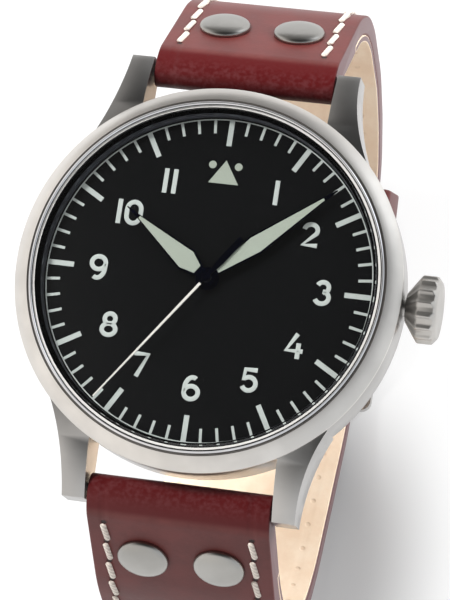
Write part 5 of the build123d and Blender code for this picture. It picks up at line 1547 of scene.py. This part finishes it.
NODE_FINISHES = {
    "dial": ("dial",),
    "marking": ("minute_track",),
    "lume": ("noon_marker", "hour_hand_lume", "minute_hand_lume"),
    "blued": ("hour_hand", "minute_hand", "hairspring"),
    "seconds": ("seconds_hand",),
    "clear_seal": ("crystal_gasket",),
    "case_satin": ("case_back", "crown_tube"),
    "seal": ("back_gasket", "crown_gasket"),
    "gilt": (
        "hour_wheel", "minute_wheel", "centre_wheel", "third_wheel", "fourth_wheel",
        "balance_wheel", "barrel",
    ),
    "hard_steel": (
        "cannon_pinion", "escape_wheel", "pallet_fork", "ratchet_wheel", "crown_wheel",
        "winding_pinion", "sliding_pinion", "winding_stem", "spring_bars", "buckle_bar",
    ),
    "rhodium": ("main_plate", "barrel_bridge", "train_bridge", "balance_cock", "pallet_bridge"),
    "holder": ("movement_holder",),
}

UPPER = StrapHalf(
    1,
    "upper",
    (
        (23.1, 47.7), (25.3, 47.7), (36.7, 33.934), (36.296, 26.146), (33.801, 17.498),
        (30.204, 11.601), (24.971, 6.137), (15.799, 4.6), (7.4, 4.6),
    ),
    (3.7, 12.992, 11.01, 12.111, 11.01, 8.514, 20.002),
    ((5.9, 4.6, 1.49), (5.9, 7.6, 1.49), (11.9, 7.6, 0.0), (11.9, 6.8, 0.0)),
    ((11.93, 6.83), (11.93, 7.6)),
    (((0.0, 7.9, 6.1), (2.5, 5.0, 6.0)),),
)
LOWER = StrapHalf(
    -1,
    "lower",
    (
        (-23.1, 47.7), (-25.297, 47.7), (-32.406, 35.829), (-35.401, 27.147), (-34.201, 18.167),
        (-28.002, 11.082), (-5.505, 1.5), (16.057, 1.5), (21.975, 2.492),
    ),
    (3.7, 20.002, 13.983, 13.983, 20.002, 24.956, 23.102),
    openings=(
        ((0.0, 5.75, 3.0), (2.3, 3.3, 6.0)),
        ((0.0, -1.25, 3.0), (0.0, 0.0, 6.0)),
        ((0.0, 12.75, 3.0), (0.0, 0.0, 6.0)),
        ((0.0, -7.402, 3.938), (-23.07, 0.0, 6.0)),
        ((0.0, -13.842, 6.681), (-23.07, 0.0, 6.0)),
    ),
    tail_radius=7.0,
)
KEEPERS = (
    Keeper("fixed_keeper", "case", (11.8, 4.55), (1.0, 0.0)),
    Keeper("free_keeper", "loose_keeper", (19.802, 5.220), (0.986249, 0.165266)),
)


def dress_nodes() -> None:
    """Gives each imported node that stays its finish."""
    for finish, nodes in NODE_FINISHES.items():
        for node in nodes:
            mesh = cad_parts[node].data
            mesh.materials.clear()
            mesh.materials.append(Finishes.get(finish))


def main() -> None:
    """Builds every sub-assembly and reports it."""
    logging.basicConfig(level=logging.INFO, format="%(message)s")
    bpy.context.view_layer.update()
    dress_nodes()
    rivets = bmesh.new()
    for half in (UPPER, LOWER):
        half.rivet_heads(rivets)
    Piece("rivets_domed", "case", ["rivet_satin"], "case_steel", ["rivets"], sharp=50.0).place(rivets)
    for assembly in (Studio(), Case(), Crystal(), Numerals(), Crown(), UPPER, LOWER, *KEEPERS, Buckle()):
        assembly.build()


if __name__ == "__main__":
    main()
